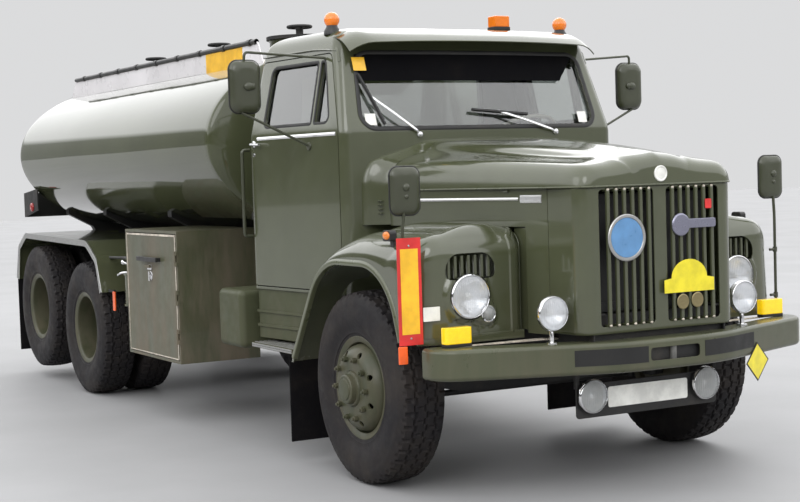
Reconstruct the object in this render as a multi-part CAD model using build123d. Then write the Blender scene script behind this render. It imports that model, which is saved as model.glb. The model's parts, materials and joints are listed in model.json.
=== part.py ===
from build123d import *
import math
import os

# A bonneted three-axle tanker lorry with a driven axle and a raised trailing axle.
# Millimetres. +X is forward, +Y is the lorry's left, +Z is up, and the ground is z = 0.
# Everything is drawn from the front axle: x is measured forward from it. On export the
# whole lorry is moved by FRONT_AXLE_X, so that the origin is under its middle.

# Reach of the bumper and of the rear coupling from the front axle
BUMPER_FRONT = 1296
REAR_REACH = 6880
FRONT_AXLE_X = (REAR_REACH - BUMPER_FRONT) / 2

# A seat's clearance between two pieces that rest on each other
SEAT = 0.3

# Wheels and axles
WHEELBASE = 4650
BOGIE_SPACING = 1290
TAG_LIFT = 96
TYRE_RADIUS = 533
TYRE_WIDTH = 285
TREAD_WIDTH = 226
RIM_RADIUS = 258
RIM_FLANGE_RADIUS = 288
RIM_WIDTH = 216
RIM_WALL = 11
HAND_HOLES = 8
HAND_HOLE_RADIUS = 16
HAND_HOLE_CIRCLE = 200
DISC_FACE = 165
DISC_BORE = 100
DISC_WALL = 11
# Skin of a wheel disc: distance behind its mounting face, radius
DISC_SKIN = ((40, 232), (8, 195), (0, 165))
DISC_SEAT = 105
FRONT_WHEEL_Y = 1040
REAR_MOUNT_Y = 932
TWIN_SPACING = 2 * DISC_FACE
DRIVE_X = -WHEELBASE
TAG_X = -WHEELBASE - BOGIE_SPACING
SPINDLE_RADIUS = 34
# Hub profiles: distance outboard of the wheel's middle, radius
FRONT_HUB = (
    (-112, 205), (-20, 205), (-20, 105), (130, 105), (134, 186), (DISC_FACE - DISC_WALL, 186),
    (DISC_FACE - DISC_WALL, 102), (DISC_FACE + 6, 96), (190, 90), (204, 72), (210, 44),
)
REAR_HUB = (
    (-95, 205), (-14, 205), (-14, 186), (0, 186), (0, 140), (DISC_WALL, 140), (DISC_WALL, 118), (96, 112),
    (112, 92), (150, 92), (156, 70),
)

# Steering
KINGPIN_Y = 860
KINGPIN_RADIUS = 22
PIN_CLEARANCE = 0.05
STEER_ARM = 210
TIE_ROD_Z = 415
TIE_ROD_RADIUS = 18

# Ladder frame
RAIL_Y = 430
RAIL_TOP = 960
RAIL_HEIGHT = 230
RAIL_FLANGE = 80
RAIL_WALL = 9
FRAME_FRONT = 1180
FRAME_REAR = -6650

# Engine block: rear x, front x, half width, low z, high z
ENGINE = (-322, 880, 320, 650, 1480)

# Springs
SPRING_RADIUS = 3000
LEAF = 13
LEAVES = 4
AXLE_TUBE = 62
SPRING_WIDTH = 76
SPRING_Y = 390
BEAM_TOP = TYRE_RADIUS + 34

# Bonnet, nose and wings
SHEET = 8
SEAM_Z = 1600
NOSE_BOTTOM = 845
GRILLE_X = 1193
NOSE_SEAM_X = 920
NOSE_HALF = 512
COWL_X = -334
COWL_HALF = 742
LID_WALL = 12
BONNET_HINGE_Y = 200
BONNET_HINGE_Z = 1952
HINGE_HALF = 22
HINGE_RADIUS = 10
WING_TOP = 1402
WING_FRONT = 750
WING_OUTER = 1212
WING_BOTTOM = 612
WING_INNER = 545
WING_EDGE = 95
WING_LIP = 34
WING_LIP_PROUD = 6
MIRROR_POST_X = 690
HEADLAMP_Y = 894
HEADLAMP_Z = 1061
HEADLAMP_RADIUS = 118

# Bonnet sections: x, half width, shoulder z, shoulder radius, foot y, foot z, bulge y, bulge z, crown
BONNET = (
    (COWL_X, COWL_HALF, 1785, 120, 520, 1836, 420, 1918, 14),
    (400, 622, 1752, 110, 408, 1788, 330, 1858, 14),
    (1120, 512, 1706, 90, 290, 1734, 225, 1774, 16),
    (1176, 504, 1690, 80, 282, 1722, 216, 1760, 14),
    (1204, 472, 1662, 56, 270, 1700, 200, 1730, 12),
)
# The scuttle's rear section, against the cab
SCUTTLE = (-440, 850, 1812, 110, 580, 1864, 480, 1938, 12)

# Side outline of a front wing: x, z, corner radius
WING_OUTLINE = ((WING_FRONT, 500, 0), (WING_FRONT, WING_TOP, 125), (-278, WING_TOP, 790), (-880, 500, 0))
ARCH_OUTLINE = ((620, 400, 0), (593, 731, 0), (428, 1210, 380), (-328, 1210, 420), (-869, 400, 0))

# Side lamp beside the headlamp: offsets in y and z, radius
SIDE_LAMP = (-110, -100, 28)
# Air vent above the headlamp: y, z, corner radius
VENT_GRILLE = ((730, 1150, 20), (1028, 1150, 20), (1028, 1283, 80), (730, 1283, 80))
VENT_BARS = 7
VENT_PITCH = 40

# Grille
SLATS = 6
SLAT_PITCH = 52
SLAT_FIRST = 77
SLAT_WIDTH = 24
SLAT_DEPTH = 36
WINDOW_INNER = 42
WINDOW_OUTER = 388
WINDOW_BOTTOM = 915
WINDOW_TOP = 1572

# Bumper
BUMPER_BOTTOM = 662
BUMPER_TOP = 822
BUMPER_HALF = 1215
BUMPER_EDGE = 22
BUMPER_LIP = 52
TOW_PIN_X = BUMPER_FRONT - 24
TOW_PIN_RADIUS = 18
TOW_PIN_TOP = 861
BUMPER_END = 800
PANEL_HALF = 462
PANEL_BOTTOM = 415
PANEL_TOP = 592

# Cab
CAB_FLOOR = 1000
CAB_BELT = 1955
CAB_EAVE = 2460
CAB_ROOF = 2598
CAB_WALL = 45
CAB_CORNER = 64
DOOR_GAP = 6
DOOR_REAR = -1540
DOOR_FRONT = -524
DOOR_HINGE_X = -518
DOOR_HINGE_Y = 1000
DOOR_TOP = 2428
HANDLE_Y = 1104
GRIP_X = -1574
GRIP_Y = 1122
GLASS = 6

# Cab outlines by level: z, front middle x, front corner x, front corner y, rear x, rear y
CAB_LEVELS = (
    (CAB_FLOOR, -418, -478, 966, -1610, 1085),
    (CAB_BELT, -418, -478, 966, -1610, 1085),
    (CAB_EAVE, -590, -648, 892, -1602, 966),
    (2532, -622, -682, 862, -1568, 934),
    (2576, -710, -770, 780, -1480, 850),
    (CAB_ROOF, -900, -960, 560, -1300, 640),
)

# Door outline in side view: x, z, corner radius
DOOR_OUTLINE = (
    (DOOR_REAR, 1016, 30), (-730, 1016, 60), (DOOR_FRONT, 1165, 40), (DOOR_FRONT, 1965, 120),
    (-700, DOOR_TOP, 50), (DOOR_REAR, DOOR_TOP, 50),
)
WINDOW_OUTLINE = ((-1395, 2012, 50), (-838, 2012, 14), (-838, 2382, 14), (-1395, 2382, 50))
VENT_OUTLINE = ((-806, 2012, 14), (-634, 2012, 40), (-757, 2382, 30), (-806, 2382, 10))
SCREEN_OUTLINE = ((-838, 1972, 85), (838, 1972, 85), (792, 2418, 85), (-792, 2418, 85))
# Sun visor over the windscreen, from the side and in plan
VISOR_OUTLINE = (
    (-700, 2560, 0), (-480, 2512, 20), (-442, 2438, 0), (-452, 2434, 0), (-492, 2496, 14), (-700, 2530, 0),
)
VISOR_PLAN = ((-900, -880, 0), (-442, -800, 170), (-442, 800, 170), (-900, 880, 0))
REAR_WINDOW = ((-700, 2000, 60), (700, 2000, 60), (680, 2360, 60), (-680, 2360, 60))

DASH_OUTLINE = ((-430, 1640, 0), (-430, 1880, 0), (-620, 1896, 30), (-690, 1828, 40), (-650, 1640, 20))

# Steering wheel
WHEEL_Y = 480
WHEEL_R = 225
WHEEL_AXIS = (-0.538, 0, 0.843)
WHEEL_CENTRE = (-760, WHEEL_Y, 1836)

# Tank
TANK_HALF_WIDTH = 1184
TANK_HALF_HEIGHT = 660
TANK_CENTRE = 1950
TANK_FRONT = -1960
TANK_REAR = -6500
TANK_WALL = 8
TANK_HEAD_SET = 45
TANK_HEAD_RISE = 95
BAND_PROUD = 12
BAND_WIDTH = 60
COAMING_Y = 724
COAMING_TOP = 2625
COAMING_WALL = 8
LID_STATIONS = (-3000, -4550, -6050)
NECK_RADIUS = 225
NECK_TOP = 2715
LID_RADIUS = 250
LID_THICK = 26
LID_HINGE_OUT = 22
LID_HINGE_UP = 15
LID_HINGE_RADIUS = 11
SADDLE_STATIONS = (-2150, -3750, -5295, -6350)
SUBFRAME_HEIGHT = 60
LADDER_HALF = 190
COUPLING_PIN_X = -REAR_REACH + 60
COUPLING_PIN_RADIUS = 20

# Cabinets
CABINET_FRONT = -2530
CABINET_REAR = -3580
CABINET_OUTER = 1220
CABINET_INNER = 622
CABINET_BOTTOM = 430
CABINET_TOP = 1350
CABINET_WALL = 20

# Outlet valve
VALVE_X = -3830
VALVE_Y = 1080
VALVE_RADIUS = 68
VALVE_BOTTOM = 750
VALVE_TOP = 1000
VALVE_PIPE_Z = 850
VALVE_PIPE_RADIUS = 42

# Rear mudguards
GUARD_OUTER = 1240
GUARD_INNER = 605
# Side outline of a rear guard: x, z, corner radius
GUARD_OUTLINE = ((-6545, 700, 0), (-6440, 1150, 60), (-6200, 1270, 120), (-4480, 1240, 220),
                 (-4230, 1100, 160), (-4060, 700, 0))
GUARD_BOTTOM = 845
FLAP_WALL = 10


def place(shape, dx=0, dy=0, dz=0):
    return Pos(dx, dy, dz) * shape


def block(x0, x1, y0, y1, z0, z1):
    """A box between two corners."""
    size = Box(abs(x1 - x0), abs(y1 - y0), abs(z1 - z0))
    return Pos((x0 + x1) / 2, (y0 + y1) / 2, (z0 + z1) / 2) * size


def mirrored(shape):
    """The same shape on the other side of the lorry."""
    return mirror(shape, about=Plane.XZ)


def rod(start, end, radius):
    """A round bar between two points."""
    axis = Vector(*end) - Vector(*start)
    plane = Plane(origin=start, z_dir=axis)
    return extrude(plane * Circle(radius), axis.length)


def outline(table):
    """A closed face from a table of corners: first, second, corner radius."""
    face = make_face(Polyline(*[(a, b) for a, b, r in table], close=True))
    for a, b, r in table:
        if r > 0:
            corner = face.vertices().sort_by_distance((a, b, 0))[0]
            face = fillet(corner, r)
    return face


def prism_x(face, x0, x1):
    """A face drawn in (y, z), extruded from x0 to x1."""
    return extrude(Plane.YZ.offset(x0) * face, x1 - x0)


def prism_y(face, y0, y1):
    """A face drawn in (x, z), extruded from y0 to y1."""
    return extrude(Plane.XZ.offset(-y1) * face, y1 - y0)


def prism_z(face, z0, z1):
    """A face drawn in (x, y), extruded from z0 to z1."""
    return extrude(Plane.XY.offset(z0) * face, z1 - z0)


def save(name, *solids):
    """Move the solids to the lorry's own frame and write them as one node."""
    moved = [Pos(FRONT_AXLE_X, 0, 0) * s for shape in solids for s in shape.solids()]
    export_step(Compound(children=moved), f"parts/{name}.step")


def tyre(centre_y, direction):
    """A tyre on its axle line; direction is +1 for the lorry's left."""
    half, tread = TYRE_WIDTH / 2, TREAD_WIDTH / 2
    bead = RIM_WIDTH / 2 - RIM_WALL
    side = [
        (bead, RIM_RADIUS + 1),
        (bead, RIM_FLANGE_RADIUS + 6),
        (half, RIM_FLANGE_RADIUS + 100),
        (half - 6, TYRE_RADIUS - 75),
        (tread, TYRE_RADIUS - 12),
        (tread * 0.5, TYRE_RADIUS),
    ]
    points = side + [(-a, b) for a, b in reversed(side)]
    face = Plane.YZ * make_face(Polyline(*points, close=True))
    return place(revolve(face, Axis.Y), dy=direction * centre_y, dz=TYRE_RADIUS)


def rim_barrel():
    """Rim with its two flanges, open in the middle, drawn round the Y axis."""
    half = RIM_WIDTH / 2
    points = [
        (-half - 6, RIM_FLANGE_RADIUS), (-half + 6, RIM_FLANGE_RADIUS),
        (-half + 6, RIM_RADIUS), (half - 6, RIM_RADIUS),
        (half - 6, RIM_FLANGE_RADIUS), (half + 6, RIM_FLANGE_RADIUS),
        (half + 6, RIM_RADIUS - RIM_WALL), (-half - 6, RIM_RADIUS - RIM_WALL),
    ]
    return revolve(Plane.YZ * make_face(Polyline(*points, close=True)), Axis.Y)


def rim_disc(face_at):
    """Domed wheel disc from the barrel to its mounting face at face_at."""
    top = RIM_RADIUS - RIM_WALL + 1
    skin = [(face_at - DISC_SEAT, top)] + [(face_at - back, r) for back, r in DISC_SKIN]
    inside = [(a - DISC_WALL, r - DISC_WALL * 0.45) for a, r in reversed(skin[1:])]
    points = skin + [(face_at, DISC_BORE), (face_at - DISC_WALL, DISC_BORE)] + inside
    points.append((face_at - DISC_SEAT - DISC_WALL * 1.4, top))
    disc = revolve(Plane.YZ * make_face(Polyline(*points, close=True)), Axis.Y)
    for i in range(HAND_HOLES):
        angle = 2 * math.pi * i / HAND_HOLES
        x, z = HAND_HOLE_CIRCLE * math.cos(angle), HAND_HOLE_CIRCLE * math.sin(angle)
        disc -= rod((x, -400, z), (x, 400, z), HAND_HOLE_RADIUS)
    return disc


def hub(points):
    """A turned hub from a table of (distance outboard, radius)."""
    closed = [(points[0][0], 0)] + list(points) + [(points[-1][0], 0)]
    return revolve(Plane.YZ * make_face(Polyline(*closed, close=True)), Axis.Y)


def front_rim():
    """Outboard is +Y; the disc bulges outwards past the rim."""
    wheel = rim_barrel() + rim_disc(DISC_FACE) + hub(FRONT_HUB)
    return wheel - rod((0, -400, 0), (0, 40, 0), SPINDLE_RADIUS + PIN_CLEARANCE)


def twin_rim():
    """Two rims back to back on the hub's mounting face at y = 0; outboard is +Y."""
    half = TWIN_SPACING / 2
    outer = place(rim_barrel() + mirrored(rim_disc(half)), dy=half)
    inner = place(rim_barrel() + rim_disc(half), dy=-half)
    wheel = outer + inner + hub(REAR_HUB)
    return wheel - rod((0, -400, 0), (0, 40, 0), SPINDLE_RADIUS + PIN_CLEARANCE)


def make_wheels():
    left_front = front_rim()
    left_twin = twin_rim()
    rows = (
        ("front", 0, TYRE_RADIUS, FRONT_WHEEL_Y, left_front, (0,)),
        ("drive", DRIVE_X, TYRE_RADIUS, REAR_MOUNT_Y, left_twin, (-0.5, 0.5)),
        ("tag", TAG_X, TYRE_RADIUS + TAG_LIFT, REAR_MOUNT_Y, left_twin, (-0.5, 0.5)),
    )
    for name, x, z, y, rim, offsets in rows:
        tyres = [tyre(y + k * TWIN_SPACING, 1) for k in offsets]
        tyres = [place(t, dx=x, dz=z - TYRE_RADIUS) for t in tyres]
        placed = place(rim, dx=x, dy=y, dz=z)
        save(f"{name}_tyre_left", *tyres)
        save(f"{name}_tyre_right", *[mirrored(t) for t in tyres])
        save(f"{name}_wheel_left", placed)
        save(f"{name}_wheel_right", mirrored(placed))


def make_frame():
    section = outline([
        (RAIL_Y, RAIL_TOP, 0), (RAIL_Y - RAIL_FLANGE, RAIL_TOP, 0),
        (RAIL_Y - RAIL_FLANGE, RAIL_TOP - RAIL_WALL, 0),
        (RAIL_Y - RAIL_WALL, RAIL_TOP - RAIL_WALL, 0),
        (RAIL_Y - RAIL_WALL, RAIL_TOP - RAIL_HEIGHT + RAIL_WALL, 0),
        (RAIL_Y - RAIL_FLANGE, RAIL_TOP - RAIL_HEIGHT + RAIL_WALL, 0),
        (RAIL_Y - RAIL_FLANGE, RAIL_TOP - RAIL_HEIGHT, 0),
        (RAIL_Y, RAIL_TOP - RAIL_HEIGHT, 0),
    ])
    rail = prism_x(section, FRAME_REAR, FRAME_FRONT)
    frame = rail + mirrored(rail)
    # station, length along x, lowest z
    members = (
        (1125, 60, 740), (-1620, 90, 870), (-2450, 90, 870), (-3700, 90, 870),
        (TAG_X + BOGIE_SPACING / 2, 90, 870), (FRAME_REAR + 30, 60, 740),
    )
    inner = RAIL_Y - RAIL_WALL
    for x, length, low in members:
        frame += block(x - length / 2, x + length / 2, -inner, inner, low, RAIL_TOP - RAIL_WALL)
    save("ladder_frame", frame)


def leaf_spring(centre_x, lowest, leaves, half):
    """Curved leaves, shorter from top to bottom, drawn in the x-z plane."""
    spring = None
    centre_z = lowest + SPRING_RADIUS + leaves * LEAF
    for i in range(leaves):
        inner, outer = SPRING_RADIUS + i * LEAF, SPRING_RADIUS + (i + 1) * LEAF
        reach = half * (1 - i / (leaves + 2))
        ring = Pos(centre_x, centre_z) * (Circle(outer) - Circle(inner))
        strip = Pos(centre_x, lowest) * Rectangle(2 * reach, 600)
        leaf = prism_y(ring & strip, SPRING_Y - SPRING_WIDTH / 2, SPRING_Y + SPRING_WIDTH / 2)
        spring = leaf if spring is None else spring + leaf
    return spring


def make_springs():
    rail_bottom = RAIL_TOP - RAIL_HEIGHT
    pad = 10
    tag_z = TYRE_RADIUS + TAG_LIFT
    # axle x, lowest point of the pack, half length, pad's low and high z
    rows = (
        (0, BEAM_TOP + pad, 560, BEAM_TOP + SEAT, BEAM_TOP + pad + LEAF),
        (DRIVE_X, TYRE_RADIUS + AXLE_TUBE + pad, 520, TYRE_RADIUS + AXLE_TUBE + SEAT,
         TYRE_RADIUS + AXLE_TUBE + pad + LEAF),
        (TAG_X, tag_z - AXLE_TUBE - pad - LEAVES * LEAF, 520, tag_z - AXLE_TUBE - pad - LEAF,
         tag_z - AXLE_TUBE - SEAT),
    )
    solids = []
    for x, lowest, half, pad_low, pad_high in rows:
        spring = leaf_spring(x, lowest, LEAVES, half)
        eye_z = lowest + LEAVES * LEAF + half * half / (2 * SPRING_RADIUS) - LEAF / 2
        for side in (-1, 1):
            eye_x = x + side * (half + 10)
            y0, y1 = SPRING_Y - SPRING_WIDTH / 2, SPRING_Y + SPRING_WIDTH / 2
            spring += rod((eye_x, y0, eye_z), (eye_x, y1, eye_z), 24)
            spring += block(eye_x - 22, eye_x + 22, y0, y1, eye_z, rail_bottom)
        spring += block(x - 60, x + 60, y0, y1, pad_low, pad_high)
        solids += [spring, mirrored(spring)]
    save("leaf_springs", *solids)


def make_axles():
    # Front beam: a dropped forging that ends in a boss round each kingpin.
    drop = TYRE_RADIUS - 60
    half = KINGPIN_Y - 30
    beam = outline([
        (-half, TYRE_RADIUS + 40, 0), (-600, TYRE_RADIUS + 34, 60), (-500, drop + 94, 60),
        (500, drop + 94, 60), (600, TYRE_RADIUS + 34, 60), (half, TYRE_RADIUS + 40, 0),
        (half, TYRE_RADIUS - 40, 0), (640, TYRE_RADIUS - 50, 60), (530, drop - 16, 60),
        (-530, drop - 16, 60), (-640, TYRE_RADIUS - 50, 60), (-half, TYRE_RADIUS - 40, 0),
    ])
    axle = prism_x(beam, -42, 42)
    for side in (-1, 1):
        y = side * KINGPIN_Y
        axle += rod((0, y, TYRE_RADIUS - 62), (0, y, TYRE_RADIUS + 62), 46)
    for side in (-1, 1):
        y = side * KINGPIN_Y
        axle -= rod((0, y, 300), (0, y, 800), KINGPIN_RADIUS + PIN_CLEARANCE)
        axle += block(-60, 60, side * SPRING_Y - 45, side * SPRING_Y + 45, drop + 60, BEAM_TOP)
    save("front_axle_beam", axle)

    # Drive axle: tapered tubes either side of a round differential housing.
    end = REAR_MOUNT_Y + 30
    table = (
        (-end, SPINDLE_RADIUS), (-REAR_MOUNT_Y + 110, SPINDLE_RADIUS), (-REAR_MOUNT_Y + 110, AXLE_TUBE),
        (-300, AXLE_TUBE), (-150, 200), (150, 200), (300, AXLE_TUBE),
        (REAR_MOUNT_Y - 110, AXLE_TUBE), (REAR_MOUNT_Y - 110, SPINDLE_RADIUS), (end, SPINDLE_RADIUS),
    )
    banjo = [(y, r) for y, r in table] + [(end, 0), (-end, 0)]
    tube = [(y, min(r, AXLE_TUBE)) for y, r in table] + [(end, 0), (-end, 0)]
    drive = revolve(Plane.YZ * make_face(Polyline(*banjo, close=True)), Axis.Y)
    drive += rod((0, 0, 0), (300, 0, 40), 80)
    tag = revolve(Plane.YZ * make_face(Polyline(*tube, close=True)), Axis.Y)
    save("rear_axles", place(drive, DRIVE_X, 0, TYRE_RADIUS),
         place(tag, TAG_X, 0, TYRE_RADIUS + TAG_LIFT))


def make_steering():
    """Left knuckle: fork, kingpin, spindle and steering arm; the right is its mirror."""
    z = TYRE_RADIUS
    y = KINGPIN_Y
    knuckle = rod((0, y, z - 106), (0, y, z + 106), KINGPIN_RADIUS)
    for low, high in ((z + 68, z + 106), (z - 106, z - 68)):
        knuckle += rod((0, y, low), (0, y, high), 44)
        knuckle += block(-40, 40, y, y + 52, low, high)
    knuckle += block(-40, 40, y + 52, y + 60, z - 106, z + 106)
    knuckle += rod((0, y + 56, z), (0, FRONT_WHEEL_Y + 30, z), SPINDLE_RADIUS)
    # The arms point straight back, so that the tie rod stays parallel and its ends stay on the pins.
    arm_y = y
    pin_x = -STEER_ARM
    knuckle += rod((0, y, z - 100), (pin_x, arm_y, TIE_ROD_Z + 40), 17)
    knuckle += rod((pin_x, arm_y, TIE_ROD_Z + 22), (pin_x, arm_y, TIE_ROD_Z + 58), 26)
    knuckle += rod((pin_x, arm_y, TIE_ROD_Z - 26), (pin_x, arm_y, TIE_ROD_Z + 30), 12)
    save("knuckle_left", knuckle)
    save("knuckle_right", mirrored(knuckle))
    rail = rod((pin_x, -arm_y + 20, TIE_ROD_Z), (pin_x, arm_y - 20, TIE_ROD_Z), TIE_ROD_RADIUS)
    for side in (-1, 1):
        rail += rod((pin_x, side * arm_y, TIE_ROD_Z - 20), (pin_x, side * arm_y, TIE_ROD_Z + 20), 28)
    for side in (-1, 1):
        rail -= rod((pin_x, side * arm_y, TIE_ROD_Z - 60), (pin_x, side * arm_y, TIE_ROD_Z + 60),
                    12 + PIN_CLEARANCE)
    save("tie_rod", rail)


def make_driveline():
    rear, front, half, low, high = ENGINE
    engine = block(rear, front, -half, half, low, high)
    web = RAIL_Y - RAIL_WALL - SEAT
    for x in (rear + 260, front - 260):
        engine += block(x - 50, x + 50, -web, web, 790, 850)
    save("engine_block", engine)
    gearbox_end = rear - 900
    shaft_z = 800
    front_face = Plane.YZ.offset(rear) * Pos(0, shaft_z + 20) * Rectangle(440, 330)
    rear_face = Plane.YZ.offset(gearbox_end) * Pos(0, shaft_z) * Rectangle(240, 220)
    gearbox = loft([front_face, rear_face], ruled=True)
    shaft = rod((gearbox_end, 0, shaft_z), (DRIVE_X + 316, 0, TYRE_RADIUS + 42), 45)
    save("gearbox_and_shaft", gearbox + shaft)
    radiator = block(1015, 1095, -365, 365, RAIL_TOP + 50, 1520)
    radiator += block(1005, 1105, -365, 365, 1520, 1565)
    radiator += block(1005, 1105, -365, 365, RAIL_TOP, RAIL_TOP + 50)
    save("radiator", radiator)


def bumper_face(inset):
    slope = 0.372
    return outline([
        (BUMPER_END, -BUMPER_HALF + inset, 0),
        (BUMPER_FRONT - slope * 915 - inset, -BUMPER_HALF + inset, 160 - inset),
        (BUMPER_FRONT - inset, -300, 900), (BUMPER_FRONT - inset, 300, 900),
        (BUMPER_FRONT - slope * 915 - inset, BUMPER_HALF - inset, 160 - inset),
        (BUMPER_END, BUMPER_HALF - inset, 0),
    ])


def make_bumper():
    bar = prism_z(bumper_face(0), BUMPER_BOTTOM, BUMPER_TOP)
    hollow = prism_z(bumper_face(SHEET), BUMPER_BOTTOM + SHEET, BUMPER_TOP - SHEET)
    front = [[e for e in form.edges() if abs(e.center().Z - (form.bounding_box().min.Z + form.bounding_box().max.Z) / 2)
              > 60 and e.center().X > BUMPER_END + 1] for form in (bar, hollow)]
    bar = fillet(front[0], BUMPER_EDGE) - fillet(front[1], BUMPER_EDGE - SHEET)
    bar -= prism_z(bumper_face(BUMPER_LIP), BUMPER_BOTTOM - 1, BUMPER_TOP - 2 * SHEET)
    bar -= block(BUMPER_END - 10, FRAME_FRONT + 6, -RAIL_Y - 6, RAIL_Y + 6, BUMPER_TOP - 20, BUMPER_TOP + 20)
    bar -= block(BUMPER_FRONT - 14, BUMPER_FRONT + 20, -160, 160, 712, 778)
    # Pale top sheet between the bumper and the wings is the bar's own wide flange.
    inner = prism_z(bumper_face(SHEET - 1), BUMPER_BOTTOM, BUMPER_TOP)
    for side in (-1, 1):
        arm = block(FRAME_FRONT, BUMPER_FRONT, side * RAIL_Y, side * (RAIL_Y - RAIL_FLANGE), 735, 805)
        bar += arm & inner
        bar += block(1040, 1062, side * (RAIL_Y + 12), side * PANEL_HALF, PANEL_TOP - 20, BUMPER_TOP - SHEET)
    bar += block(1048, 1062, -PANEL_HALF, PANEL_HALF, PANEL_BOTTOM, PANEL_TOP)
    # The tow pin stands in the slot.
    for z in (BUMPER_BOTTOM + SHEET + 2, BUMPER_TOP - SHEET):
        bar += block(TOW_PIN_X - 60, BUMPER_FRONT - SHEET / 2, -50, 50, z, z + SHEET - 2)
    bar += rod((TOW_PIN_X, 0, BUMPER_BOTTOM + SHEET), (TOW_PIN_X, 0, TOW_PIN_TOP), TOW_PIN_RADIUS)
    save("bumper", bar)


def make_nose():
    plan = [
        (NOSE_SEAM_X, -NOSE_HALF, 0), (GRILLE_X, -NOSE_HALF + 12, 80),
        (GRILLE_X, NOSE_HALF - 12, 80), (NOSE_SEAM_X, NOSE_HALF, 0),
    ]
    shell = prism_z(outline(plan), NOSE_BOTTOM, SEAM_Z - SEAT)
    hollow = [
        (NOSE_SEAM_X - 20, -NOSE_HALF + LID_WALL, 0), (GRILLE_X - LID_WALL, -NOSE_HALF + LID_WALL + 12, 68),
        (GRILLE_X - LID_WALL, NOSE_HALF - LID_WALL - 12, 68), (NOSE_SEAM_X - 20, NOSE_HALF - LID_WALL, 0),
    ]
    shell -= prism_z(outline(hollow), NOSE_BOTTOM - 10, SEAM_Z + 10)
    for side in (-1, 1):
        shell -= block(GRILLE_X - 60, GRILLE_X + 20, side * WINDOW_INNER, side * WINDOW_OUTER,
                       WINDOW_BOTTOM, WINDOW_TOP)
    lip = RAIL_Y - RAIL_FLANGE - 5
    shell += block(GRILLE_X - 32, GRILLE_X - LID_WALL, -lip, lip, NOSE_BOTTOM, NOSE_BOTTOM + 30)
    save("nose_shell", shell)

    slats = []
    for side in (-1, 1):
        for i in range(SLATS):
            y = side * (SLAT_FIRST + i * SLAT_PITCH)
            tip = GRILLE_X + 6
            face = outline([
                (tip - SLAT_DEPTH, y - SLAT_WIDTH / 2, 0), (tip, y - SLAT_WIDTH / 2, SLAT_WIDTH * 0.45),
                (tip, y + SLAT_WIDTH / 2, SLAT_WIDTH * 0.45), (tip - SLAT_DEPTH, y + SLAT_WIDTH / 2, 0),
            ])
            slats.append(prism_z(face, WINDOW_BOTTOM, WINDOW_TOP))
    save("grille_slats", *slats)


def bonnet_section(row, inset, bottom):
    x, half, shoulder, radius, foot_y, foot_z, bulge_y, bulge_z, crown = row
    half, shoulder, foot_z, bulge_z = half - inset, shoulder - inset, foot_z - inset, bulge_z - inset
    right = [(-half, bottom, 0), (-half + 8, shoulder, radius), (-foot_y, foot_z, 90), (-bulge_y, bulge_z, 70)]
    left = [(-a, b, r) for a, b, r in reversed(right)]
    return Plane.YZ.offset(x) * outline(right + [(0, bulge_z + crown, 900)] + left)


def bonnet_form(inset, bottom, ends=(0, 0)):
    rows = [list(row) for row in BONNET]
    rows[0][0] -= ends[0]
    rows[-1][0] -= ends[1]
    return loft([bonnet_section(row, inset, bottom) for row in rows], ruled=True)


def make_bonnet():
    lid = bonnet_form(0, SEAM_Z, (-4, 0)) - bonnet_form(LID_WALL, SEAM_Z - 20, (40, LID_WALL + 8))
    for side in (-1, 1):
        y = side * BONNET_HINGE_Y
        lid += rod((COWL_X, y - HINGE_HALF, BONNET_HINGE_Z), (COWL_X, y + HINGE_HALF, BONNET_HINGE_Z), HINGE_RADIUS)
        lid += block(COWL_X + HINGE_RADIUS * 0.5, COWL_X + 34, y - HINGE_HALF, y + HINGE_HALF,
                     BONNET_HINGE_Z - 42, BONNET_HINGE_Z - HINGE_RADIUS * 0.4)
    save("bonnet_lid", lid)

    low = WING_TOP + SEAT
    panel_plan = [
        (COWL_X + SEAT, -COWL_HALF, 0), (NOSE_SEAM_X - 2, -NOSE_HALF, 0),
        (NOSE_SEAM_X - 2, -NOSE_HALF + LID_WALL, 0), (COWL_X + SEAT, -COWL_HALF + LID_WALL, 0),
    ]
    panel = prism_z(outline(panel_plan), NOSE_BOTTOM, SEAM_Z - SEAT)
    panel -= block(COWL_X - 10, WING_FRONT + 6, -900, -300, 700, low)
    save("bonnet_side_panels", panel, mirrored(panel))


def wing_form():
    """Outer form of the left front wing, closed, with its outer edge rounded."""
    wing = prism_y(outline(WING_OUTLINE), WING_INNER, WING_OUTER)
    edges = [e for e in wing.edges() if abs(e.center().Y - WING_OUTER) < 1 and e.center().Z > 560]
    return fillet(edges, WING_EDGE)


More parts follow.
